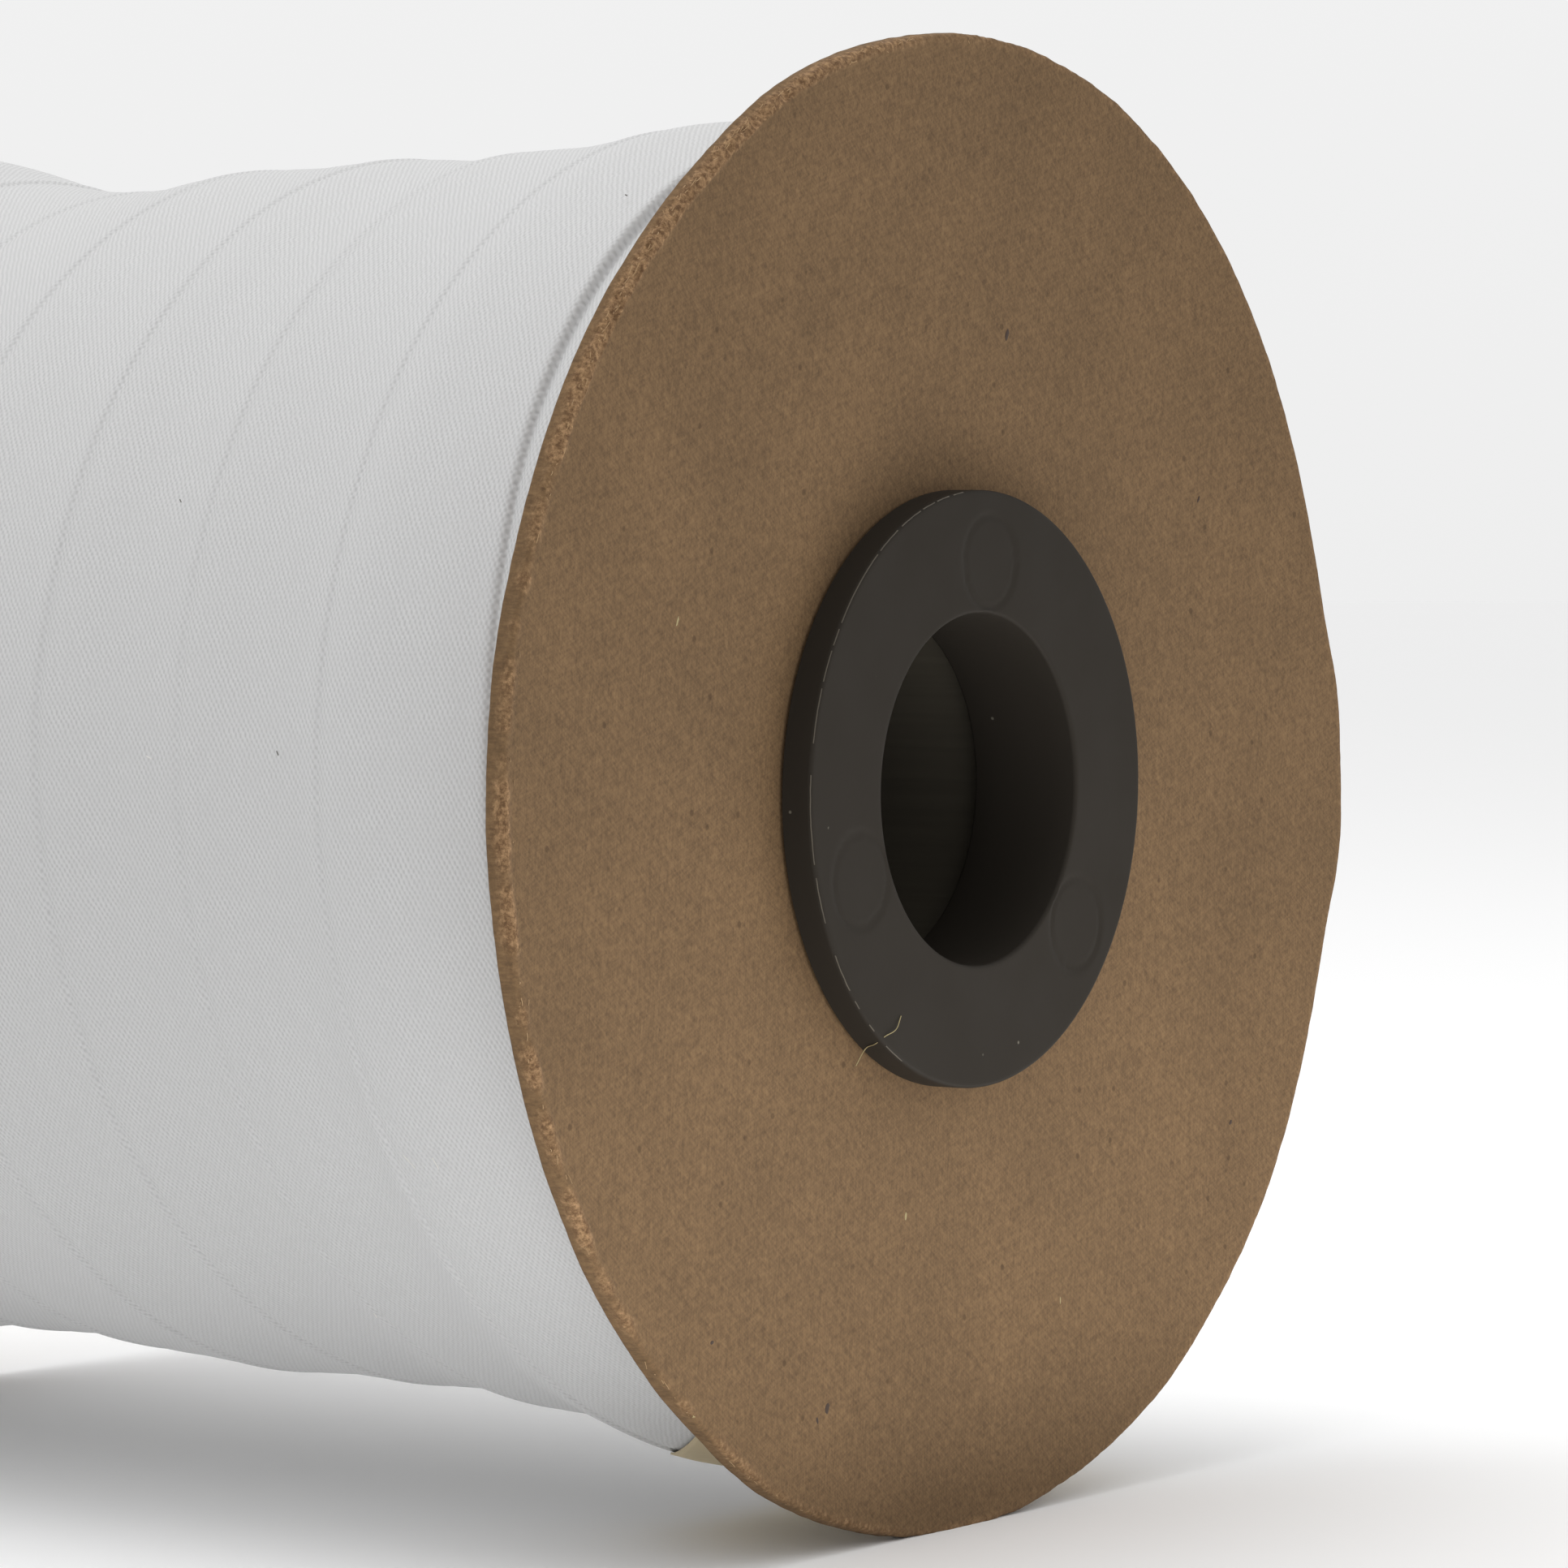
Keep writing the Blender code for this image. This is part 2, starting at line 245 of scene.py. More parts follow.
# Round marks that the ejector pins leave on the ring's face
EJECTOR_MARKS = (94.0, 219.0, 339.0)
EJECTOR_MARK_CENTRE = 16.4 * MM
EJECTOR_MARK_RADIUS = 3.3 * MM


def linear(hex_colour):
    """Linear colour from an sRGB hex value."""
    parts = [int(hex_colour[i : i + 2], 16) / 255 for i in (0, 2, 4)]
    return [p / 12.92 if p <= 0.04045 else ((p + 0.055) / 1.055) ** 2.4 for p in parts]


# Settings that a user would change


def colour_setting(name, description, hex_colour):
    return FloatVectorProperty(
        name=name,
        description=description,
        subtype="COLOR",
        size=3,
        min=0.0,
        max=1.0,
        default=linear(hex_colour),
    )


def length_setting(name, description, metres):
    return FloatProperty(
        name=name, description=description, default=metres, min=0.0, unit="LENGTH", precision=5
    )


def level_setting(name, description, level):
    return FloatProperty(name=name, description=description, default=level, min=0.0)


def power_setting(name, description, watts):
    return FloatProperty(name=name, description=description, default=watts, min=0.0, unit="POWER")


def angle_setting(name, description, degrees):
    return FloatProperty(
        name=name, description=description, default=math.radians(degrees), subtype="ANGLE"
    )


class BIASTAPE_PG_tape(bpy.types.PropertyGroup):
    """The wound tape."""

    cloth: colour_setting("Cloth", "Colour of the bleached cotton", "cbcbcb")
    thread_spacing: length_setting("Thread Spacing", "Distance between neighbouring threads", 0.38 * MM)
    bias_angle: angle_setting(
        "Bias Angle", "Angle between threads and tape edge, which tight winding pulls below 45 degrees", 33
    )
    groove_depth: length_setting("Groove Depth", "Depth of the groove that runs behind each fold", 0.06 * MM)
    unevenness: length_setting("Unevenness", "Height of the soft swells in the wound cloth", 0.07 * MM)
    columns: IntProperty(name="Columns", description="Points round the roll", default=384, min=48, max=480)


class BIASTAPE_PG_boards(bpy.types.PropertyGroup):
    """The two chipboard ends."""

    kraft: colour_setting("Kraft", "Colour of the kraft liner", "7e6446")
    kraft_dark: colour_setting("Dark Fibres", "Colour of the liner's darker fibres", "594530")
    torn_pulp_and_highlight: colour_setting("Torn Edge", "Colour of the pulp where the rim is torn", "c4a076")
    fibre_length: length_setting("Fibre Length", "Length of the pulp's fibres on the face", 1.2 * MM)
    tear_depth: length_setting("Tear Depth", "How far the rim's corner is torn back at its worst", 0.9 * MM)
    burr_height: length_setting("Burr Height", "How far the cut's burr stands above the face", 0.22 * MM)


class BIASTAPE_PG_hubs(bpy.types.PropertyGroup):
    """The moulded plugs."""

    plastic: colour_setting("Plastic", "Colour of the moulded plastic", "2e2a25")
    bore_radius: length_setting("Bore Radius", "Radius of the spindle's hole", 12.7 * MM)
    edge_round: length_setting("Edge Round", "Rounding of the moulding's edges", 0.3 * MM)
    mark_depth: length_setting("Mark Depth", "Depth of the ejector marks", 0.13 * MM)


class BIASTAPE_PG_tab(bpy.types.PropertyGroup):
    """The paper tab."""

    paper: colour_setting("Paper", "Colour of the crepe paper", "c3b391")
    thickness: length_setting("Thickness", "Thickness of the crepe paper", 0.16 * MM)


class BIASTAPE_PG_stage(bpy.types.PropertyGroup):
    """Floor, lamps and camera."""

    floor: colour_setting("Floor", "Colour of the studio floor", "fafafa")
    sky: level_setting("Sky", "Strength of the soft light from the backdrop", 0.86)
    room: level_setting("Room", "How bright the room behind the camera is, as a share of the sky", 0.6)
    zenith: level_setting("Zenith", "Light added towards the zenith", 0.20)
    key: power_setting("Key", "Power of the large lamp overhead", 2.7)
    under_glow: power_setting("Under Glow", "Power of the flat panel that lies under the roll", 0.0075)
    right_glow: power_setting("Right Glow", "Power of the flat panel that lies before the board", 0.058)
    lens: FloatProperty(name="Lens", description="Focal length on a 36 mm sensor", default=148.50, min=1.0)
    azimuth: angle_setting("Azimuth", "Camera's angle round the spool", 35.06)
    elevation: angle_setting("Elevation", "Camera's angle above the floor", 2.2554)
    distance: length_setting("Distance", "From the camera to the right-hand board's middle", 467.45 * MM)
    offset_right: length_setting("Offset Right", "How far right of the view's centre it lies", 12.0108 * MM)
    offset_down: length_setting("Offset Down", "How far below the view's centre it lies", 0.3194 * MM)


class BIASTAPE_PG_settings(bpy.types.PropertyGroup):
    """All settings of the spool."""

    tape: PointerProperty(type=BIASTAPE_PG_tape)
    boards: PointerProperty(type=BIASTAPE_PG_boards)
    hubs: PointerProperty(type=BIASTAPE_PG_hubs)
    tab: PointerProperty(type=BIASTAPE_PG_tab)
    stage: PointerProperty(type=BIASTAPE_PG_stage)


# Values along tables and soft steps


def smoothstep(low, high, value):
    share = min(1.0, max(0.0, (value - low) / (high - low)))
    return share * share * (3 - 2 * share)


def table_value(table, place, column):
    """A column of a table on a smooth curve through its rows, held level past both ends."""
    if place <= table[0][0]:
        return table[0][column]
    if place >= table[-1][0]:
        return table[-1][column]
    i = 1
    while table[i][0] < place:
        i += 1
    low, high = table[i - 1], table[i]
    span = high[0] - low[0]
    before = table[max(i - 2, 0)]
    after = table[min(i + 1, len(table) - 1)]
    slope_low = (high[column] - before[column]) / (high[0] - before[0])
    slope_high = (after[column] - low[column]) / (after[0] - low[0])
    t = (place - low[0]) / span
    return (
        (2 * t**3 - 3 * t**2 + 1) * low[column]
        + (t**3 - 2 * t**2 + t) * span * slope_low
        + (3 * t**2 - 2 * t**3) * high[column]
        + (t**3 - t**2) * span * slope_high
    )


def around_axis(radius, angle, x):
    return Vector((x, -radius * math.cos(angle), AXIS_HEIGHT + radius * math.sin(angle)))


def dish(radius):
    """How far a board is bent outwards at a radius: flat under the hub's ring, and most at the rim."""
    return BOARD_DISH * max(0.0, (radius - RING_RADIUS) / (BOARD_RADIUS - RING_RADIUS)) ** 1.4


def swell(seed, *place):
    """Soft random height between -1 and 1 at a place."""
    return noise.noise(Vector(place) + Vector((seed * 17.3, seed * 5.1, seed * 9.7)))


# Building blocks for objects and materials


def add_object(name, mesh, finish, smooth_degrees=40):
    made = bpy.data.objects.new(name, mesh)
    bpy.context.scene.collection.objects.link(made)
    mesh.materials.clear()
    mesh.materials.append(finish)
    mesh.shade_smooth()
    if smooth_degrees < 180:
        mesh.set_sharp_from_angle(angle=math.radians(smooth_degrees))
    return made


def keep_piece(piece, slot, *nodes):
    """Rides the piece on the spool and lets it stand for the named solids, which it hides. The slot is not
    used.
    """
    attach(piece, "root")
    if nodes:
        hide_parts(*nodes)


def close_normals(mesh):
    shape = bmesh.new()
    shape.from_mesh(mesh)
    bmesh.ops.recalc_face_normals(shape, faces=shape.faces)
    shape.to_mesh(mesh)
    shape.free()


def clip(shape, place, facing):
    """Cuts away what lies past a plane and returns the cut's edges."""
    everything = shape.verts[:] + shape.edges[:] + shape.faces[:]
    cut = bmesh.ops.bisect_plane(shape, geom=everything, plane_co=place, plane_no=facing, clear_outer=True)
    return [item for item in cut["geom_cut"] if isinstance(item, bmesh.types.BMEdge)]


def spun_mesh(name, profile, steps, side, shift=None):
    """A closed ring spun round the spool's axis from a closed profile of (radius, x) points. The shift of a
    point is (outwards, along x), from its place in the profile, its radius, x and angle."""
    points = []
    for place, (radius, x) in enumerate(profile):
        for step in range(steps):
            angle = FULL_TURN * step / steps
            out, along = shift(place, radius, x, angle) if shift else (0.0, 0.0)
            points.append(around_axis(radius + out, angle, side * (x + along)))
    faces = []
    for place in range(len(profile)):
        start, following = place * steps, (place + 1) % len(profile) * steps
        for step in range(steps):
            beside = (step + 1) % steps
            faces.append((start + step, start + beside, following + beside, following + step))
    mesh = bpy.data.meshes.new(name)
    mesh.from_pydata(points, [], faces)
    close_normals(mesh)
    return mesh


def arc(centre_radius, centre_x, size, from_degrees, to_degrees, steps):
    """Points of a rounded corner in a profile; 0 degrees points outwards and 90 along x."""
    made = []
    for step in range(steps + 1):
        turned = math.radians(from_degrees + (to_degrees - from_degrees) * step / steps)
        made.append((centre_radius + size * math.cos(turned), centre_x + size * math.sin(turned)))
    return made


def straight(from_value, to_value, steps):
    """Values between two others, without the two."""
    return [from_value + (to_value - from_value) * step / steps for step in range(1, steps)]


def fibre_mesh(name, paths, thickness):
    """Many fine fibres as one mesh; each path is a list of points."""
    curve = bpy.data.curves.new(name, "CURVE")
    curve.dimensions = "3D"
    curve.bevel_depth = thickness / 2
    curve.bevel_resolution = 1
    curve.use_fill_caps = True
    for path in paths:
        spline = curve.splines.new("POLY")
        spline.points.add(len(path) - 1)
        for point, place in zip(spline.points, path):
            point.co = (*place, 1.0)
    guide = bpy.data.objects.new(name + "_guide", curve)
    bpy.context.scene.collection.objects.link(guide)
    bpy.context.view_layer.update()
    graph = bpy.context.evaluated_depsgraph_get()
    mesh = bpy.data.meshes.new_from_object(guide.evaluated_get(graph))
    mesh.name = name
    bpy.data.objects.remove(guide, do_unlink=True)
    return mesh


def add_node(tree, kind, inputs=None, **settings):
    """A shader node with its settings; an input is given a value, or the socket that feeds it."""
    node = tree.nodes.new("ShaderNode" + kind)
    for name, value in settings.items():
        setattr(node, name, value)
    for name, value in (inputs or {}).items():
        if isinstance(value, bpy.types.NodeSocket):
            tree.links.new(value, node.inputs[name])
        else:
            node.inputs[name].default_value = value
    return node


def new_material(name):
    """An empty material and its surface shader."""
    made = bpy.data.materials.new(name)
    made.use_nodes = True
    return made, made.node_tree, made.node_tree.nodes["Principled BSDF"]


# Materials


def bleached_cotton(settings):
    """Cotton, plain woven, bleached and cut on the bias. Its threads slant across the tape, so the eye sees
    slanting rows of small pits between them, on a dull surface with a faint fuzz. The threads are drawn a
    little wider apart than real ones, which would be too fine to hold at the picture's size."""
    made, tree, shader = new_material("bleached_cotton_bias_weave")
    spacing, angle = settings.thread_spacing, settings.bias_angle
    lay = add_node(tree, "UVMap", uv_map="tape_lay")
    place = add_node(tree, "SeparateXYZ", {"Vector": lay.outputs["UV"]})
    drift = add_node(tree, "TexNoise", {"Scale": 1 / (9 * MM), "Detail": 2.0})
    waves = []
    for slant in (-1, 1):
        along = add_node(
            tree,
            "Math",
            {0: place.outputs["X"], 1: math.pi * math.sin(angle) / spacing},
            operation="MULTIPLY",
        )
        turned = add_node(
            tree,
            "Math",
            {0: place.outputs["Y"], 1: slant * math.pi * math.cos(angle) / spacing, 2: along.outputs[0]},
            operation="MULTIPLY_ADD",
        )
        bent = add_node(
            tree,
            "Math",
            {0: drift.outputs["Fac"], 1: 2.5, 2: turned.outputs[0]},
            operation="MULTIPLY_ADD",
        )
        thread = add_node(tree, "Math", {0: bent.outputs[0]}, operation="SINE")
        waves.append(add_node(tree, "Math", {0: thread.outputs[0], 1: 2.0}, operation="POWER"))
    rows = add_node(tree, "Math", {0: waves[0].outputs[0], 1: 0.62}, operation="MULTIPLY")
    cloth_height = add_node(
        tree, "Math", {0: waves[1].outputs[0], 1: 0.38, 2: rows.outputs[0]}, operation="MULTIPLY_ADD"
    )
    # Threads are spun unevenly, so some stand out more than others
    slub = add_node(tree, "TexNoise", {"Scale": 1 / (0.8 * MM), "Detail": 4.0, "Roughness": 0.7})
    uneven = add_node(
        tree, "Math", {0: slub.outputs["Fac"], 1: 0.55, 2: cloth_height.outputs[0]}, operation="MULTIPLY_ADD"
    )
    patches = add_node(tree, "TexNoise", {"Scale": 1 / (14 * MM), "Detail": 2.0})
    strength = add_node(
        tree,
        "MapRange",
        {"Value": patches.outputs["Fac"], "From Min": 0.35, "From Max": 0.65, "To Min": 0.6, "To Max": 1.0},
    )
    # The cloth's colour follows the weave's height: painted shade in the pits between threads, and lighter
    # thread tops
    painted_pit_shade = add_node(
        tree,
        "MapRange",
        {"Value": uneven.outputs[0], "From Min": 0.25, "From Max": 0.95, "To Min": 0.80, "To Max": 1.04},
    )
    painted_pit_shade_level = add_node(
        tree,
        "Mix",
        {0: strength.outputs[0], 2: 0.95, 3: painted_pit_shade.outputs[0]},
        data_type="FLOAT",
    )
    tint = add_node(
        tree,
        "VectorMath",
        {0: (*settings.cloth,), "Scale": painted_pit_shade_level.outputs[0]},
        operation="SCALE",
    )
    bump = add_node(
        tree,
        "Bump",
        {"Strength": 0.6, "Distance": 0.09 * MM, "Height": uneven.outputs[0]},
    )
    tree.links.new(tint.outputs[0], shader.inputs["Base Color"])
    tree.links.new(bump.outputs[0], shader.inputs["Normal"])
    shader.inputs["Roughness"].default_value = 0.92
    shader.inputs["Specular IOR Level"].default_value = 0.25
    shader.inputs["Sheen Weight"].default_value = 0.12
    shader.inputs["Sheen Roughness"].default_value = 0.6
    return made


def kraft_board(settings):
    """Chipboard with a kraft paper liner, die cut. The liner shows a dull felt of short brown fibres with
    dark specks of bark, and the cut edge shows paler pulp where it is torn or rolled over."""
    made, tree, shader = new_material("kraft_lined_chipboard_die_cut")
    coords = add_node(tree, "TexCoord").outputs["Object"]
    clouds = add_node(tree, "TexNoise", {"Vector": coords, "Scale": 1 / (11 * MM), "Detail": 3.0})
    pulp = add_node(
        tree, "TexNoise", {"Vector": coords, "Scale": 1 / (0.50 * MM), "Detail": 5.0, "Roughness": 0.7}
    )
    # Fibres lie every way in the paper
    felt = pulp.outputs["Fac"]
    for degrees, share in ((20.0, 0.40), (80.0, 0.30), (140.0, 0.25)):
        laid = add_node(
            tree,
            "Mapping",
            {
                "Vector": coords,
                "Rotation": (math.radians(degrees), 0.0, 0.0),
                "Scale": (settings.fibre_length, settings.fibre_length, 0.14 * settings.fibre_length),
            },
            vector_type="TEXTURE",
        )
        strand = add_node(
            tree, "TexNoise", {"Vector": laid.outputs[0], "Scale": 1.0, "Detail": 3.0, "Roughness": 0.6}
        )
        mixed = add_node(tree, "Mix", {0: share, 2: felt, 3: strand.outputs["Fac"]}, data_type="FLOAT")
        felt = mixed.outputs[0]
    felt_share = add_node(tree, "MapRange", {"Value": felt, "From Min": 0.38, "From Max": 0.62})
    liner = add_node(
        tree,
        "Mix",
        {0: felt_share.outputs[0], 6: (*settings.kraft_dark, 1.0), 7: (*settings.kraft, 1.0)},
        data_type="RGBA",
    )
    cloud_share = add_node(
        tree,
        "MapRange",
        {"Value": clouds.outputs["Fac"], "From Min": 0.3, "From Max": 0.7, "To Min": 0.93, "To Max": 1.07},
    )
    liner_tint = add_node(
        tree, "VectorMath", {0: liner.outputs[2], "Scale": cloud_share.outputs[0]}, operation="SCALE"
    )
    # Specks of bark
    cells = add_node(tree, "TexVoronoi", {"Vector": coords, "Scale": 1 / (3.4 * MM), "Randomness": 1.0})
    speck = add_node(
        tree,
        "MapRange",
        {
            "Value": cells.outputs["Distance"],
            "From Min": 0.05,
            "From Max": 0.085,
            "To Min": 0.55,
            "To Max": 0.0,
        },
    )
    specked = add_node(
        tree,
        "Mix",
        {0: speck.outputs[0], 6: liner_tint.outputs[0], 7: (*linear("41301f"), 1.0)},
        data_type="RGBA",
    )
    # The rim's torn or rolled edge, as the mesh marks it: paler pulp, and along the burr's ridge a pale line
    # that is a painted highlight
    edge = add_node(tree, "Attribute", attribute_name="edge_wear_and_highlight")
    rough_edge = add_node(
        tree, "TexNoise", {"Vector": coords, "Scale": 1 / (0.42 * MM), "Detail": 5.0, "Roughness": 0.75}
    )
    wear_and_highlight_share = add_node(
        tree, "Math", {0: edge.outputs["Fac"], 1: rough_edge.outputs["Fac"]}, operation="MULTIPLY"
    )
    wear_and_highlight_shown = add_node(
        tree, "MapRange", {"Value": wear_and_highlight_share.outputs[0], "From Min": 0.10, "From Max": 0.50}
    )
    # Across the worn edge the colour runs by noise from dark brown pulp to pale specks, which are paler pulp
    # and also painted highlights on lit fibres
    torn_highlight_share = add_node(
        tree, "MapRange", {"Value": rough_edge.outputs["Fac"], "From Min": 0.38, "From Max": 0.84}
    )
    torn_pulp_and_painted_light = add_node(
        tree,
        "Mix",
        {0: torn_highlight_share.outputs[0], 6: (*linear("5a3f28"), 1.0), 7: (*settings.torn_pulp_and_highlight, 1.0)},
        data_type="RGBA",
    )
    board_tint = add_node(
        tree,
        "Mix",
        {0: wear_and_highlight_shown.outputs[0], 6: specked.outputs[2], 7: torn_pulp_and_painted_light.outputs[2]},
        data_type="RGBA",
    )
    bump = add_node(tree, "Bump", {"Strength": 0.35, "Distance": 0.06 * MM, "Height": felt})
    tree.links.new(board_tint.outputs[2], shader.inputs["Base Color"])
    tree.links.new(bump.outputs[0], shader.inputs["Normal"])
    shader.inputs["Roughness"].default_value = 0.88
    shader.inputs["Specular IOR Level"].default_value = 0.25
    return made


def moulded_plastic(settings):
    """Polystyrene, injection moulded in a lightly sparked mould. It gives a near-black satin that lifts to
    grey where it faces light, with a faint flow in its gloss and a few specks of dust."""
    made, tree, shader = new_material("polystyrene_injection_moulded")
    coords = add_node(tree, "TexCoord").outputs["Object"]
    spark = add_node(tree, "TexNoise", {"Vector": coords, "Scale": 1 / (0.25 * MM), "Detail": 3.0})
    flow = add_node(tree, "TexNoise", {"Vector": coords, "Scale": 1 / (6 * MM), "Detail": 3.0})
    gloss = add_node(
        tree,
        "MapRange",
        {"Value": flow.outputs["Fac"], "From Min": 0.3, "From Max": 0.7, "To Min": 0.48, "To Max": 0.62},
    )
    cells = add_node(tree, "TexVoronoi", {"Vector": coords, "Scale": 1 / (2.6 * MM), "Randomness": 1.0})
    dust = add_node(
        tree,
        "MapRange",
        {
            "Value": cells.outputs["Distance"],
            "From Min": 0.03,
            "From Max": 0.06,
            "To Min": 0.5,
            "To Max": 0.0,
        },
    )
    sparse = add_node(tree, "Math", {0: flow.outputs["Fac"], 1: 0.56}, operation="GREATER_THAN")
    dust_share = add_node(tree, "Math", {0: dust.outputs[0], 1: sparse.outputs[0]}, operation="MULTIPLY")
    tint = add_node(
        tree,
        "Mix",
        {0: dust_share.outputs[0], 6: (*settings.plastic, 1.0), 7: (*linear("8a8578"), 1.0)},
        data_type="RGBA",
    )
    bump = add_node(tree, "Bump", {"Strength": 0.25, "Distance": 0.02 * MM, "Height": spark.outputs["Fac"]})
    tree.links.new(tint.outputs[2], shader.inputs["Base Color"])
    tree.links.new(gloss.outputs[0], shader.inputs["Roughness"])
    tree.links.new(bump.outputs[0], shader.inputs["Normal"])
    shader.inputs["Specular IOR Level"].default_value = 0.05
    return made


def extruded_tube():
    """Recycled polyethylene, extruded. It is dull and nearly black, with faint lines drawn along it by the
    die."""
    made, tree, shader = new_material("polyethylene_extruded_dull")
    coords = add_node(tree, "TexCoord").outputs["Object"]
    drawn = add_node(
        tree,
        "Mapping",
        {"Vector": coords, "Scale": (20 * MM, 0.6 * MM, 0.6 * MM)},
        vector_type="TEXTURE",
    )
    lines = add_node(tree, "TexNoise", {"Vector": drawn.outputs[0], "Scale": 1.0, "Detail": 3.0})
    tint = add_node(
        tree,
        "Mix",
        {0: lines.outputs["Fac"], 6: (*linear("48433a"), 1.0), 7: (*linear("585246"), 1.0)},
        data_type="RGBA",
    )
    bump = add_node(tree, "Bump", {"Strength": 0.3, "Distance": 0.05 * MM, "Height": lines.outputs["Fac"]})
    tree.links.new(tint.outputs[2], shader.inputs["Base Color"])
    tree.links.new(bump.outputs[0], shader.inputs["Normal"])
    shader.inputs["Roughness"].default_value = 0.6
    return made


def crepe_paper(settings):
    """Masking paper, creped. Fine wrinkles run across the strip, and the paper is dull and warm beige."""
    made, tree, shader = new_material("masking_paper_creped")
    coords = add_node(tree, "TexCoord").outputs["Object"]
    wrinkle_place = add_node(
        tree,
        "Mapping",
        {"Vector": coords, "Scale": (2.5 * MM, 0.35 * MM, 0.35 * MM)},
        vector_type="TEXTURE",
    )
    wrinkles = add_node(
        tree, "TexNoise", {"Vector": wrinkle_place.outputs[0], "Scale": 1.0, "Detail": 3.0, "Roughness": 0.6}
    )
    # The paper is darker in the wrinkles' low places: painted shade in the creases
    painted_crease_shade = [0.82 * part for part in settings.paper]
    tint = add_node(
        tree,
        "Mix",
        {0: wrinkles.outputs["Fac"], 6: (*painted_crease_shade, 1.0), 7: (*settings.paper, 1.0)},
        data_type="RGBA",
    )
    bump = add_node(tree, "Bump", {"Strength": 0.5, "Distance": 0.05 * MM, "Height": wrinkles.outputs["Fac"]})
    tree.links.new(tint.outputs[2], shader.inputs["Base Color"])
    tree.links.new(bump.outputs[0], shader.inputs["Normal"])
    shader.inputs["Roughness"].default_value = 0.75
    return made


def loose_fibre(name, hex_colour, variation):
    """Loose fibre or fleck, uncoated. It is a dull thread or chip whose colour drifts a little along it."""
    made, tree, shader = new_material(name)
    drift = add_node(tree, "TexNoise", {"Scale": 1 / (0.6 * MM), "Detail": 3.0})
    colour = linear(hex_colour)
    tint = add_node(
        tree,
        "Mix",
        {
            0: drift.outputs["Fac"],
            6: (*[(1 - variation) * part for part in colour], 1.0),
            7: (*colour, 1.0),
        },
        data_type="RGBA",
    )
    tree.links.new(tint.outputs[2], shader.inputs["Base Color"])
    shader.inputs["Roughness"].default_value = 0.8
    return made


def studio_floor(settings):
    """Matte laminate, printed plain. It is a pale even ground, with a faint mottle so that it reads as a
    floor."""
    made, tree, shader = new_material("matte_laminate_pale")
    mottle = add_node(tree, "TexNoise", {"Scale": 1 / (60 * MM), "Detail": 3.0})
    level = add_node(tree, "MapRange", {"Value": mottle.outputs["Fac"], "To Min": 0.985, "To Max": 1.0})
    tint = add_node(tree, "VectorMath", {0: (*settings.floor,), "Scale": level.outputs[0]}, operation="SCALE")
    tree.links.new(tint.outputs[0], shader.inputs["Base Color"])
    shader.inputs["Roughness"].default_value = 0.9
    shader.inputs["Specular IOR Level"].default_value = 0.1
    return made


# The wound tape


def wound_radius(along, angle):
    """Radius of the roll without its laps."""
    radius = table_value(WOUND_PROFILE, along / MM, 1)
    lift = table_value(WOUND_PROFILE, along / MM, 2)
    return (radius + lift * math.sin(angle)) * MM


def looseness(passed):
    """How loose the fold is after so many turns, from 0 to 1."""
    return smoothstep(LOOSE_FROM, LOOSE_FULL, passed) * (1 - smoothstep(LOOSE_FULL, LOOSE_END, passed))


def wander(passed):
    """How far a fold strays from its place after so many turns, in millimetres."""
    return 0.22 * swell(1, passed * 9.0, 0.0, 0.0) + 0.10 * swell(2, passed * 31.0, 0.0, 0.0)


def tape_point(settings, turn, section, angle):
    """A point of the tape and its distance along the roll. Turns advance by one lap in each full circle, so a
    turn's end meets the start of the next one."""
    from_fold, across, fold_share, crown_share, groove_share = section
    passed = turn + angle / FULL_TURN
    edge = table_value(TURNS, passed, 1)
    width = table_value(TURNS, passed + 1, 1) - edge
    bow = FOLD_BOW * (1 - math.cos(2 * angle))
    wobble, next_wobble = wander(passed), wander(passed + 1)
    share = across if across else from_fold / width
    slip = LOOSE_SLIP_MM * ((1 - share) * looseness(passed) + share * looseness(passed + 1))
    along = (edge + from_fold + across * width + wobble + share * (next_wobble - wobble) + slip) * MM - bow
    fold = table_value(TURNS, passed + share, 2) * (1 + 0.35 * swell(3, (passed + share) * 12.0, 0.0, 0.0))
    fold += LOOSE_CLEAR_MM * looseness(passed + share)
    crown = table_value(TURNS, passed + share, 3)
    relief = (fold_share * fold + crown_share * crown) * MM + groove_share * settings.groove_depth
    # The swells are placed by millimetres round the roll
    spread = angle * 47.0
    relief += settings.unevenness * swell(4, along / (11 * MM), spread / 13, turn * 0.6)
    relief += 0.35 * settings.unevenness * swell(5, along / (4 * MM), spread / 6, turn * 0.9)
    radius = wound_radius(along, angle) + relief
    return around_axis(radius, angle, HALF_INNER - along), along


def weave_length(settings):
    """The tape's length round the roll that the weave is drawn on, a whole number of threads."""
    thread_step = settings.thread_spacing / math.sin(settings.bias_angle)
    return thread_step * round(FULL_TURN * MEAN_WOUND_RADIUS / thread_step)


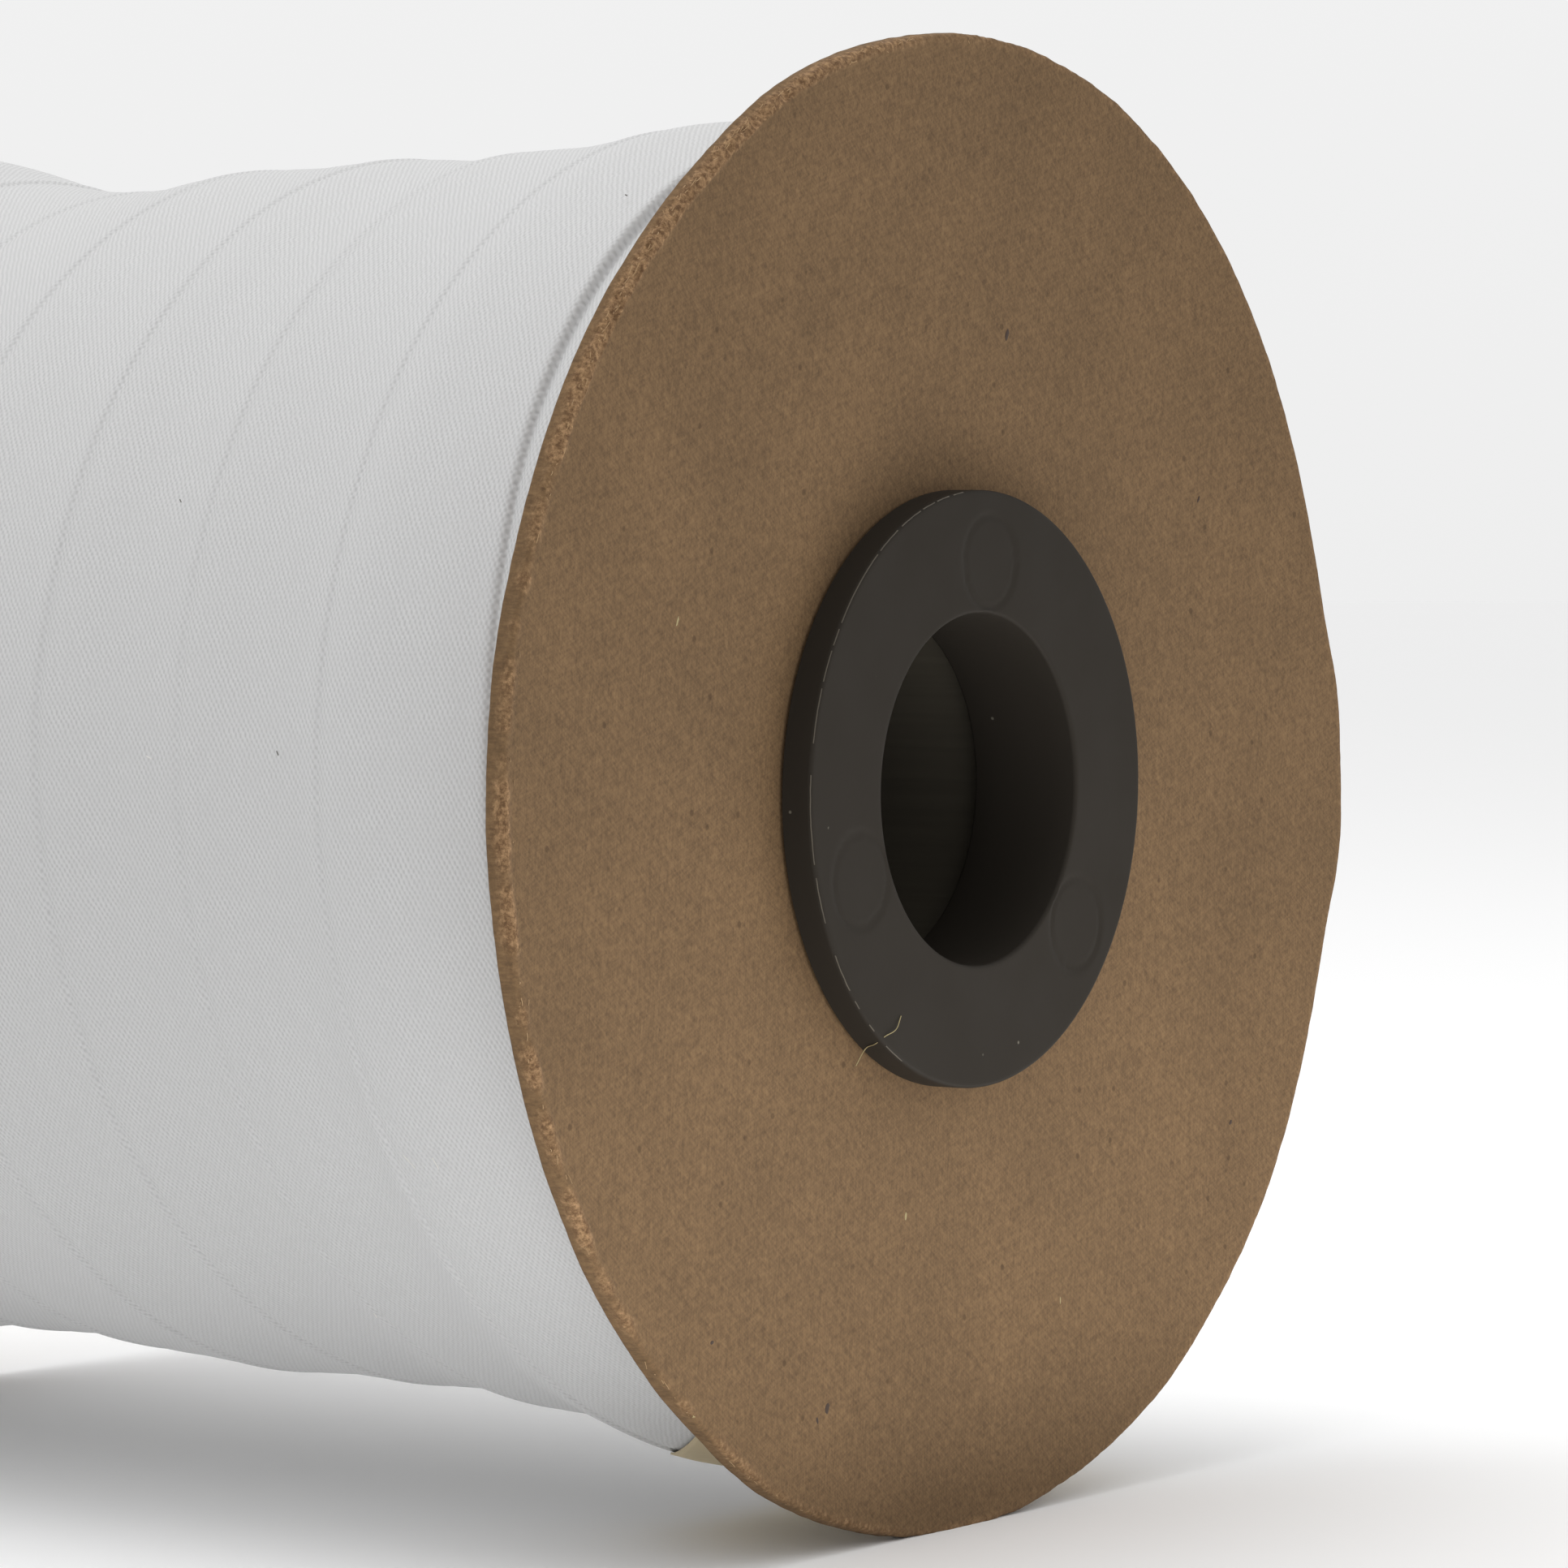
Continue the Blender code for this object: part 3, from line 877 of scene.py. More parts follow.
def tape_mesh(settings):
    """The tape's helical skin, with a weave map in metres."""
    sections = len(LAP_SECTION)
    columns = settings.columns
    stations = (LAST_TURN - FIRST_TURN) * sections + 1
    length = weave_length(settings)
    lap_shift = 0.41 * settings.thread_spacing
    points, lay = [], []
    for column in range(columns):
        angle = math.radians(-180 + 360 * column / columns)
        for station in range(stations):
            turn = FIRST_TURN + station // sections
            point, along = tape_point(settings, turn, LAP_SECTION[station % sections], angle)
            points.append(point)
            lay.append((angle / FULL_TURN * length, along + turn * lap_shift))

    faces, corners = [], []
    for column in range(columns):
        wraps = column == columns - 1
        for station in range(stations - 1 - (sections if wraps else 0)):
            beside = station + sections if wraps else (column + 1) * stations + station
            here = column * stations + station
            faces.append((here, beside, beside + 1, here + 1))
            corners.append(wraps)
    mesh = bpy.data.meshes.new("tape_cloth")
    mesh.from_pydata(points, [], faces)
    weave = mesh.uv_layers.new(name="tape_lay")
    for polygon, wraps in zip(mesh.polygons, corners):
        for corner in polygon.loop_indices:
            vertex = mesh.loops[corner].vertex_index
            along_tape, across_tape = lay[vertex]
            if wraps and vertex < stations:
                along_tape += length
                across_tape -= lap_shift
            weave.data[corner].uv = (along_tape, across_tape)
    return mesh


def close_ends(mesh):
    """Trims the skin between the boards, leads its ends in along them to the tube and joins them there."""
    half = HALF_INNER - GAP
    shape = bmesh.new()
    shape.from_mesh(mesh)
    inner_edges = []
    for side in (1, -1):
        rim = clip(shape, (side * (half + dish(END_TRIM_RADIUS)), 0.0, 0.0), (side, 0.0, 0.0))
        for radius in (44 * MM, 36 * MM, 28 * MM, RING_RADIUS, ROLL_BORE):
            grown = bmesh.ops.extrude_edge_only(shape, edges=rim)["geom"]
            for item in grown:
                if isinstance(item, bmesh.types.BMVert):
                    out = math.hypot(item.co.y, item.co.z - AXIS_HEIGHT)
                    item.co.x = side * (half + dish(radius))
                    item.co.y *= radius / out
                    item.co.z = AXIS_HEIGHT + (item.co.z - AXIS_HEIGHT) * radius / out
            rim = [item for item in grown if isinstance(item, bmesh.types.BMEdge) and item.is_boundary]
        inner_edges += rim
    bmesh.ops.bridge_loops(shape, edges=inner_edges)
    bmesh.ops.recalc_face_normals(shape, faces=shape.faces)
    shape.to_mesh(mesh)
    shape.free()


class BIASTAPE_OT_wound_tape(bpy.types.Operator):
    """Winds the tape as one skin of overlapping laps in place of its plain solid"""

    bl_idname = "bias_tape.wound_tape"
    bl_label = "Wound Tape"

    def execute(self, context):
        settings = context.scene.bias_tape.tape
        mesh = tape_mesh(settings)
        close_ends(mesh)
        piece = add_object("tape_cloth", mesh, bleached_cotton(settings), 62)
        keep_piece(piece, "bias_tape", "tape_roll")
        return {"FINISHED"}


# Boards


def board_profile(fine):
    """A board's section from the socket out over its face, round the rim and back. Fine boards have closer
    points near the rim."""
    outer_round, inner_round = 0.38 * MM, 0.25 * MM
    face_to = BOARD_RADIUS - outer_round
    near_rim = BOARD_RADIUS - 3.2 * MM
    inner_radii = [SOCKET_RADIUS, *straight(SOCKET_RADIUS, near_rim, 8), near_rim]
    outer_radii = straight(near_rim, face_to, 12 if fine else 4)
    face = [(radius, BOARD_FACE) for radius in inner_radii + outer_radii]
    corner = arc(face_to, BOARD_FACE - outer_round, outer_round, 90, 0, 5 if fine else 3)
    edge = [
        (BOARD_RADIUS, x)
        for x in straight(BOARD_FACE - outer_round, HALF_INNER + inner_round, 6 if fine else 2)
    ]
    back_corner = arc(BOARD_RADIUS - inner_round, HALF_INNER + inner_round, inner_round, 0, -90, 3)
    back = [(radius, HALF_INNER) for radius in straight(BOARD_RADIUS - inner_round, SOCKET_RADIUS, 6)]
    return face + corner + edge + back_corner + back + [(SOCKET_RADIUS, HALF_INNER)]


def rim_value(table, angle, column):
    """A column of a table that goes once round the rim."""
    degrees = math.degrees(angle)
    if degrees > table[-1][0]:
        degrees -= 360
    return table_value(table, degrees, column)


def rim_wear(angle):
    """How torn, burred and rolled over the rim is at an angle."""
    return [rim_value(RIM_WEAR, angle, column) for column in (1, 2, 3)]


def board_shift(settings, worn, wear_and_highlight_marks):
    """The shift of a board's points: a soft warp, an uneven rim and, on the worn board, its torn corner and
    burr."""

    def shift(place, radius, x, angle):
        spread = angle * BOARD_RADIUS
        from_rim = BOARD_RADIUS - radius
        near = smoothstep(2.4 * MM, 0.0, from_rim)
        face_side = smoothstep(HALF_INNER, BOARD_FACE, x)
        free = smoothstep(RING_RADIUS, BOARD_RADIUS, radius)
        along = dish(radius)
        warp = swell(11, math.cos(angle) * 1.3, math.sin(angle) * 1.3, radius / (40 * MM))
        along += 0.10 * MM * free * warp
        out = near * 0.08 * MM * swell(12, math.cos(angle) * 9, math.sin(angle) * 9, 0.0)
        if worn:
            out += smoothstep(30 * MM, 0.0, from_rim) * rim_value(RIM_WAVES, angle, 1) * MM
        out += near * 0.05 * MM * swell(13, math.cos(angle) * 40, math.sin(angle) * 40, x / MM)
        torn, burr, rolled = rim_wear(angle) if worn else (0.06, 0.15, 0.8)
        corner = smoothstep(1.3 * MM, 0.2 * MM, from_rim) * face_side
        ragged = 0.5 + 0.5 * swell(14, spread / (1.9 * MM), 0.0, radius / MM)
        ragged += 0.45 * swell(15, spread / (0.6 * MM), x / (0.5 * MM), radius / (0.5 * MM))
        tear = torn * settings.tear_depth * corner * max(0.0, ragged)
        out -= 0.75 * tear
        along -= 0.40 * tear * smoothstep(0.55, 0.95, corner)
        ridge = smoothstep(1.1 * MM, 0.45 * MM, from_rim) * smoothstep(0.0, 0.30 * MM, from_rim)
        lumps = 0.55 + 0.9 * swell(16, spread / (2.6 * MM), 0.0, 0.0)
        lumps += 0.4 * swell(17, spread / (0.9 * MM), 0.0, 0.0)
        along += burr * settings.burr_height * ridge * face_side * max(0.0, lumps)
        # Pale mark on the corner: pulp where the rim is rolled or torn, and a painted highlight along the
        # burr's ridge
        pulp = corner * (0.35 * rolled + 1.1 * torn + 1.2 * burr * max(0.0, lumps))
        wear_and_highlight_marks.append(min(1.0, max(0.0, pulp + (1 - face_side) * near * 0.10)))
        return out, along

    return shift


def make_board(settings, name, side, worn, finish):
    marks = []
    shift = board_shift(settings, worn, marks)
    mesh = spun_mesh(name, board_profile(worn), 1440 if worn else 720, side, shift)
    wear = mesh.attributes.new("edge_wear_and_highlight", "FLOAT", "POINT")
    wear.data.foreach_set("value", marks)
    shape = bmesh.new()
    shape.from_mesh(mesh)
    flat = clip(shape, (0.0, 0.0, 0.0), (0.0, 0.0, -1.0))
    bmesh.ops.holes_fill(shape, edges=flat)
    bmesh.ops.recalc_face_normals(shape, faces=shape.faces)
    shape.to_mesh(mesh)
    shape.free()
    return add_object(name, mesh, finish, 50)


class BIASTAPE_OT_boards(bpy.types.Operator):
    """Cuts both board ends, the right-hand one with its beaten rim"""

    bl_idname = "bias_tape.boards"
    bl_label = "Board Ends"

    def execute(self, context):
        settings = context.scene.bias_tape.boards
        finish = kraft_board(settings)
        for name, side, worn, node in (
            ("kraft_board_right", 1, True, "board_right"),
            ("kraft_board_left", -1, False, "board_left"),
        ):
            keep_piece(make_board(settings, name, side, worn, finish), "kraft_board", node)
        return {"FINISHED"}


# Hub plugs and tube


def hub_profile(settings):
    edge = settings.edge_round
    bore = settings.bore_radius
    back = BOARD_FACE + GAP
    sleeve = SOCKET_RADIUS - GAP
    profile = [(radius, RING_FRONT) for radius in straight(bore + edge, RING_RADIUS - edge, 34)]
    profile += arc(RING_RADIUS - edge, RING_FRONT - edge, edge, 90, 0, 5)
    profile += [(RING_RADIUS, x) for x in straight(RING_FRONT - edge, back, 3)]
    profile += [(RING_RADIUS, back), (sleeve, back)]
    profile += [(sleeve, x) for x in straight(back, SLEEVE_END + edge, 3)]
    profile += arc(sleeve - edge, SLEEVE_END + edge, edge, 0, -90, 4)
    profile += arc(bore + edge, SLEEVE_END + edge, edge, -90, -180, 4)
    profile += [(bore, x) for x in straight(SLEEVE_END + edge, RING_FRONT - edge, 5)]
    profile += arc(bore + edge, RING_FRONT - edge, edge, 180, 90, 5)
    return profile


def hub_shift(settings):
    """Sinks the ejector marks into the ring's face."""

    def shift(place, radius, x, angle):
        if x < RING_FRONT - 1e-6:
            return 0.0, 0.0
        sunk = 0.0
        y, z = radius * math.cos(angle), radius * math.sin(angle)
        for degrees in EJECTOR_MARKS:
            turned = math.radians(degrees)
            apart = math.hypot(
                y - EJECTOR_MARK_CENTRE * math.cos(turned),
                z - EJECTOR_MARK_CENTRE * math.sin(turned),
            )
            groove = math.exp(-(((apart - EJECTOR_MARK_RADIUS) / (0.22 * MM)) ** 2))
            disc = 0.35 * smoothstep(EJECTOR_MARK_RADIUS, EJECTOR_MARK_RADIUS - 0.5 * MM, apart)
            sunk += settings.mark_depth * max(groove, disc)
        return 0.0, -sunk

    return shift


def make_hub(settings, name, side, finish):
    mesh = spun_mesh(name, hub_profile(settings), 300, side, hub_shift(settings))
    return add_object(name, mesh, finish, 50)


def flash_paths():
    """The thin torn flash on the ring's front edge, in stretches, from the top round to the lower left."""
    rng = random.Random(7)
    paths, path = [], []
    degrees = -62.0
    while degrees < 84.0:
        angle = math.radians(degrees)
        out = RING_RADIUS - 0.09 * MM + 0.03 * MM * swell(21, degrees * 0.5, 0.0, 0.0)
        front = RING_FRONT - 0.09 * MM + 0.02 * MM * swell(22, degrees * 0.7, 0.0, 0.0)
        path.append(around_axis(out, angle, front))
        if len(path) > 3 and rng.random() < 0.07:
            paths.append(path)
            path = []
            degrees += rng.uniform(0.1, 0.9) if degrees > 5.0 else rng.uniform(1.5, 7.0)
        degrees += 0.7
    if len(path) > 2:
        paths.append(path)
    return paths


def gate_nub(settings):
    """The stub where the moulding was broken from its sprue, on the ring's edge."""
    angle = math.radians(198.5)
    mesh = bpy.data.meshes.new("hub_gate_nub")
    shape = bmesh.new()
    bmesh.ops.create_icosphere(shape, subdivisions=3, radius=1.0)
    for vert in shape.verts:
        bumpy = 1 + 0.18 * swell(23, *(vert.co * 1.7))
        vert.co = Vector((vert.co.x * 0.55, vert.co.y * 0.30, vert.co.z * 0.62)) * bumpy * MM
    shape.to_mesh(mesh)
    shape.free()
    outwards = around_axis(1.0, angle, 0.0) - Vector((0.0, 0.0, AXIS_HEIGHT))
    turn = Vector((0.0, -1.0, 0.0)).rotation_difference(outwards)
    mesh.transform(turn.to_matrix().to_4x4())
    for vert in mesh.vertices:
        vert.co += around_axis(RING_RADIUS, angle, RING_FRONT - 0.9 * MM)
    return mesh


class BIASTAPE_OT_hubs(bpy.types.Operator):
    """Moulds both hub plugs, and gives the tube between them its finish"""

    bl_idname = "bias_tape.hubs"
    bl_label = "Hub Plugs and Tube"

    def execute(self, context):
        settings = context.scene.bias_tape.hubs
        finish = moulded_plastic(settings)
        for name, side, node in (("hub_plug_right", 1, "hub_right"), ("hub_plug_left", -1, "hub_left")):
            keep_piece(make_hub(settings, name, side, finish), "hub_plastic", node)
        nub = add_object("hub_gate_nub", gate_nub(settings), finish)
        keep_piece(nub, "hub_plastic")
        flash = add_object(
            "hub_flash",
            fibre_mesh("hub_flash", flash_paths(), 0.09 * MM),
            loose_fibre("polystyrene_torn_flash", "5e574b", 0.5),
        )
        keep_piece(flash, "hub_plastic")

        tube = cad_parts["core_tube"]
        tube.data.materials.clear()
        tube.data.materials.append(extruded_tube())
        tube.data.shade_smooth()
        tube.data.set_sharp_from_angle(angle=math.radians(32))
        return {"FINISHED"}


# Paper tab


def tab_surface(settings):
    """A thin strip of paper on the tape, from under the roll round to the front, where its end is cut at a
    slant."""
    rows, strips = 64, 14
    points = []
    for row in range(rows + 1):
        angle = TAB_LOW_ANGLE + (TAB_HIGH_ANGLE - TAB_LOW_ANGLE) * row / rows
        free_edge = max(TAB_LOW.x, HALF_INNER - TAB_SLANT * (TAB_SLANT_ANGLE - angle))
        for strip in range(strips + 1):
            x = free_edge + (TAB_HIGH.x - free_edge) * strip / strips
            out = wound_radius(HALF_INNER - x, angle) + 0.12 * MM
            out += 0.03 * MM * swell(31, x / (3 * MM), angle * 14, 0.0)
            points.append(around_axis(out, angle, x))
    across = strips + 1
    faces = []
    for row in range(rows):
        for strip in range(strips):
            start = row * across + strip
            faces.append((start, start + 1, start + across + 1, start + across))
    mesh = bpy.data.meshes.new("paper_strip")
    mesh.from_pydata(points, [], faces)
    return mesh


class BIASTAPE_OT_paper_tab(bpy.types.Operator):
    """Lays the strip of crepe paper on the tape under the right-hand board"""

    bl_idname = "bias_tape.paper_tab"
    bl_label = "Paper Tab"

    def execute(self, context):
        settings = context.scene.bias_tape.tab
        strip = add_object("paper_strip", tab_surface(settings), crepe_paper(settings))
        thick = strip.modifiers.new("Paper", "SOLIDIFY")
        thick.thickness = settings.thickness
        thick.offset = 0.0
        keep_piece(strip, "tab_paper", "paper_tab")
        return {"FINISHED"}


# Loose fibres, lint and flecks


def on_face(y_mm, z_mm, proud=0.0):
    """A point on the right-hand board's face, from the spool's axis in millimetres."""
    face = BOARD_FACE + dish(math.hypot(y_mm, z_mm) * MM)
    return Vector((face + proud, y_mm * MM, AXIS_HEIGHT + z_mm * MM))


def rim_fibre_paths():
    """Short pulp fibres that stand out of the torn rim."""
    rng = random.Random(12)
    paths = []
    for _ in range(RIM_FIBRE_TRIES):
        degrees = rng.uniform(-70.0, 100.0)
        angle = math.radians(degrees)
        torn, burr, _rolled = rim_wear(angle)
        if rng.random() > 0.25 * burr + torn:
            continue
        out = BOARD_RADIUS - rng.uniform(0.15, 0.9) * MM
        start = around_axis(out, angle, BOARD_FACE + dish(out) - rng.uniform(0.0, 0.35) * MM)
        heading = math.radians(rng.uniform(-75, 75))
        length = rng.uniform(0.25, 0.9) * MM
        drift = Vector((rng.uniform(0.1, 0.6), 0.0, 0.0))
        path = [start]
        for step in range(1, 4):
            share = step / 3
            turned = angle + math.sin(heading) * length * share / BOARD_RADIUS
            lift = math.cos(heading) * length * share * 0.5
            path.append(
                around_axis(out + lift, turned, start.x) + drift * length * share * (1.3 - 0.5 * share)
            )
        paths.append(path)
    return paths


# Flecks pressed into the right-hand face: place from the axis, length, width and how far they lean
FACE_FLECKS = (
    # y_mm, z_mm, length_mm, width_mm, lean_deg, pale
    (7.0, 32.9, 0.9, 0.45, 70, False),
    (-8.7, 47.4, 0.8, 0.30, 100, False),
    (-16.7, -43.1, 0.9, 0.60, 70, False),
    (-18.0, -43.8, 0.7, 0.32, 100, False),
    (-25.5, 39.3, 0.5, 0.30, 95, False),
    (-24.7, 39.3, 0.6, 0.35, 80, False),
    (-32.9, -41.5, 1.0, 0.50, 60, True),
    (-30.7, -37.0, 0.5, 0.25, 20, False),
    (21.0, -12.0, 0.6, 0.25, 110, False),
    (33.5, 21.0, 0.5, 0.25, 60, False),
    (14.0, -38.5, 0.8, 0.22, 85, True),
    (-34.0, 12.5, 0.7, 0.22, 65, True),
    (38.0, -27.0, 0.5, 0.30, 40, False),
    (-6.0, -30.5, 0.6, 0.22, 75, True),
)


def fleck_mesh(name, pale):
    mesh = bpy.data.meshes.new(name)
    shape = bmesh.new()
    for y_mm, z_mm, length, width, lean, is_pale in FACE_FLECKS:
        if is_pale != pale:
            continue
        made = bmesh.ops.create_icosphere(shape, subdivisions=2, radius=0.5)["verts"]
        turned = math.radians(lean)
        for vert in made:
            bumpy = 1 + 0.5 * swell(41, *(vert.co * 3 + Vector((y_mm, z_mm, 0.0))))
            across, up = vert.co.y * width * bumpy, vert.co.z * length * bumpy
            vert.co = on_face(
                y_mm + across * math.sin(turned) + up * math.cos(turned),
                z_mm - across * math.cos(turned) + up * math.sin(turned),
                vert.co.x * 0.07 * MM,
            )
    shape.to_mesh(mesh)
    shape.free()
    return mesh


def smooth_path(points, steps):
    """A smooth curve through a few points."""
    made = []
    rows = [(i, *point) for i, point in enumerate(points)]
    for step in range((len(points) - 1) * steps + 1):
        made.append(Vector([table_value(rows, step / steps, column) for column in (1, 2, 3)]))
    return made


def hair_path():
    """A pale hair caught on the ring: off the board, up over the ring's edge and onto its face."""
    side, face = RING_RADIUS + 0.08 * MM, RING_FRONT + 0.05 * MM
    return smooth_path(
        [
            around_axis(RING_RADIUS + 1.3 * MM, math.radians(-57.5), BOARD_FACE + 0.15 * MM),
            around_axis(side + 0.1 * MM, math.radians(-56.0), BOARD_FACE + 0.9 * MM),
            around_axis(side, math.radians(-54.5), RING_FRONT - 0.7 * MM),
            around_axis(RING_RADIUS - 0.5 * MM, math.radians(-54.0), face),
            around_axis(RING_RADIUS - 1.5 * MM, math.radians(-56.0), face + 0.12 * MM),
            around_axis(RING_RADIUS - 2.7 * MM, math.radians(-56.5), face),
        ],
        6,
    )


# Lint on the tape: distance along the roll, angle up from the front, length, heading and tone
TAPE_LINT = (
    # along_mm, angle_deg, length_mm, heading_deg, dark
    (21.6, 4.1, 0.30, 80, True),
    (35.0, 26.0, 0.25, 65, True),
    (14.0, -29.4, 1.0, 70, False),
    (11.5, -29.2, 0.9, 100, False),
    (8.2, 58.0, 0.20, 40, True),
    (34.0, 3.5, 0.4, 30, False),
    (28.3, -52.0, 0.7, 120, False),
)


def lint_paths(settings, dark):
    paths = []
    for along_mm, degrees, length, heading, is_dark in TAPE_LINT:
        if is_dark != dark:
            continue
        path = []
        for step in range(5):
            share = step / 4 - 0.5
            bend = 0.18 * math.sin(3 * share) * length
            along = (along_mm + math.cos(math.radians(heading)) * length * share + bend) * MM
            around = math.sin(math.radians(heading)) * length * share * MM / MEAN_WOUND_RADIUS
            angle = math.radians(degrees) + around
            path.append(around_axis(wound_radius(along, angle) + 0.36 * MM, angle, HALF_INNER - along))
        paths.append(path)
    return paths


class BIASTAPE_OT_loose_fibres(bpy.types.Operator):
    """Adds the rim's torn fibres, the face's flecks, the lint on the tape and the hair on the hub"""

    bl_idname = "bias_tape.loose_fibres"
    bl_label = "Fibres and Flecks"

    def execute(self, context):
        settings = context.scene.bias_tape.tape
        pulp = loose_fibre("kraft_pulp_torn_fibres", "b3936a", 0.45)
        bark = loose_fibre("bark_fleck_pressed", "453326", 0.5)
        straw = loose_fibre("straw_fleck_pressed", "a99a6e", 0.4)
        cotton = loose_fibre("cotton_lint_loose", "e6e4de", 0.15)
        dark_lint = loose_fibre("grey_lint_loose", "6f6c66", 0.4)
        for name, mesh, finish, slot in (
            ("rim_fibres", fibre_mesh("rim_fibres", rim_fibre_paths(), 0.05 * MM), pulp, "kraft_board"),
            ("face_flecks_dark", fleck_mesh("face_flecks_dark", False), bark, "kraft_board"),
            ("face_flecks_pale", fleck_mesh("face_flecks_pale", True), straw, "kraft_board"),
            ("hub_hair", fibre_mesh("hub_hair", [hair_path()], 0.07 * MM), straw, "hub_plastic"),
            (
                "tape_lint",
                fibre_mesh("tape_lint", lint_paths(settings, False), 0.06 * MM),
                cotton,
                "bias_tape",
            ),
            (
                "tape_lint_dark",
                fibre_mesh("tape_lint_dark", lint_paths(settings, True), 0.09 * MM),
                dark_lint,
                "bias_tape",
            ),
        ):
            keep_piece(add_object(name, mesh, finish), slot)
        return {"FINISHED"}


# Stage


def add_lamp(name, width, depth, power, place, aim):
    lamp = bpy.data.lights.new(name, "AREA")
    lamp.shape = "RECTANGLE"
    lamp.size, lamp.size_y = width, depth
    lamp.energy = power
    made = bpy.data.objects.new(name, lamp)
    bpy.context.scene.collection.objects.link(made)
    made.location = place
    made.rotation_mode = "QUATERNION"
    made.rotation_quaternion = (Vector(aim) - Vector(place)).to_track_quat("-Z", "Y")
    made.visible_camera = False
    return made


def add_floor(settings):
    mesh = bpy.data.meshes.new("studio_floor")
    shape = bmesh.new()
    bmesh.ops.create_circle(shape, cap_ends=True, segments=96, radius=6.0)
    shape.to_mesh(mesh)
    shape.free()
    floor = add_object("studio_floor", mesh, studio_floor(settings))


def add_camera(settings):
    camera = bpy.data.cameras.new("camera")
    camera.lens = settings.lens
    camera.sensor_width = 36.0
    camera.clip_start, camera.clip_end = 0.01, 20.0
    made = bpy.data.objects.new("camera", camera)
    bpy.context.scene.collection.objects.link(made)
    azimuth, elevation = settings.azimuth, settings.elevation
    forward = Vector(
        (
            -math.sin(azimuth) * math.cos(elevation),
            math.cos(azimuth) * math.cos(elevation),
            -math.sin(elevation),
        )
    )
    right = Vector((math.cos(azimuth), math.sin(azimuth), 0.0))
    down = forward.cross(right)
    middle = Vector((BOARD_FACE, 0.0, AXIS_HEIGHT))
    made.location = (
        middle - right * settings.offset_right - down * settings.offset_down - forward * settings.distance
    )
    made.rotation_mode = "QUATERNION"
    made.rotation_quaternion = forward.to_track_quat("-Z", "Y")
    bpy.context.scene.camera = made


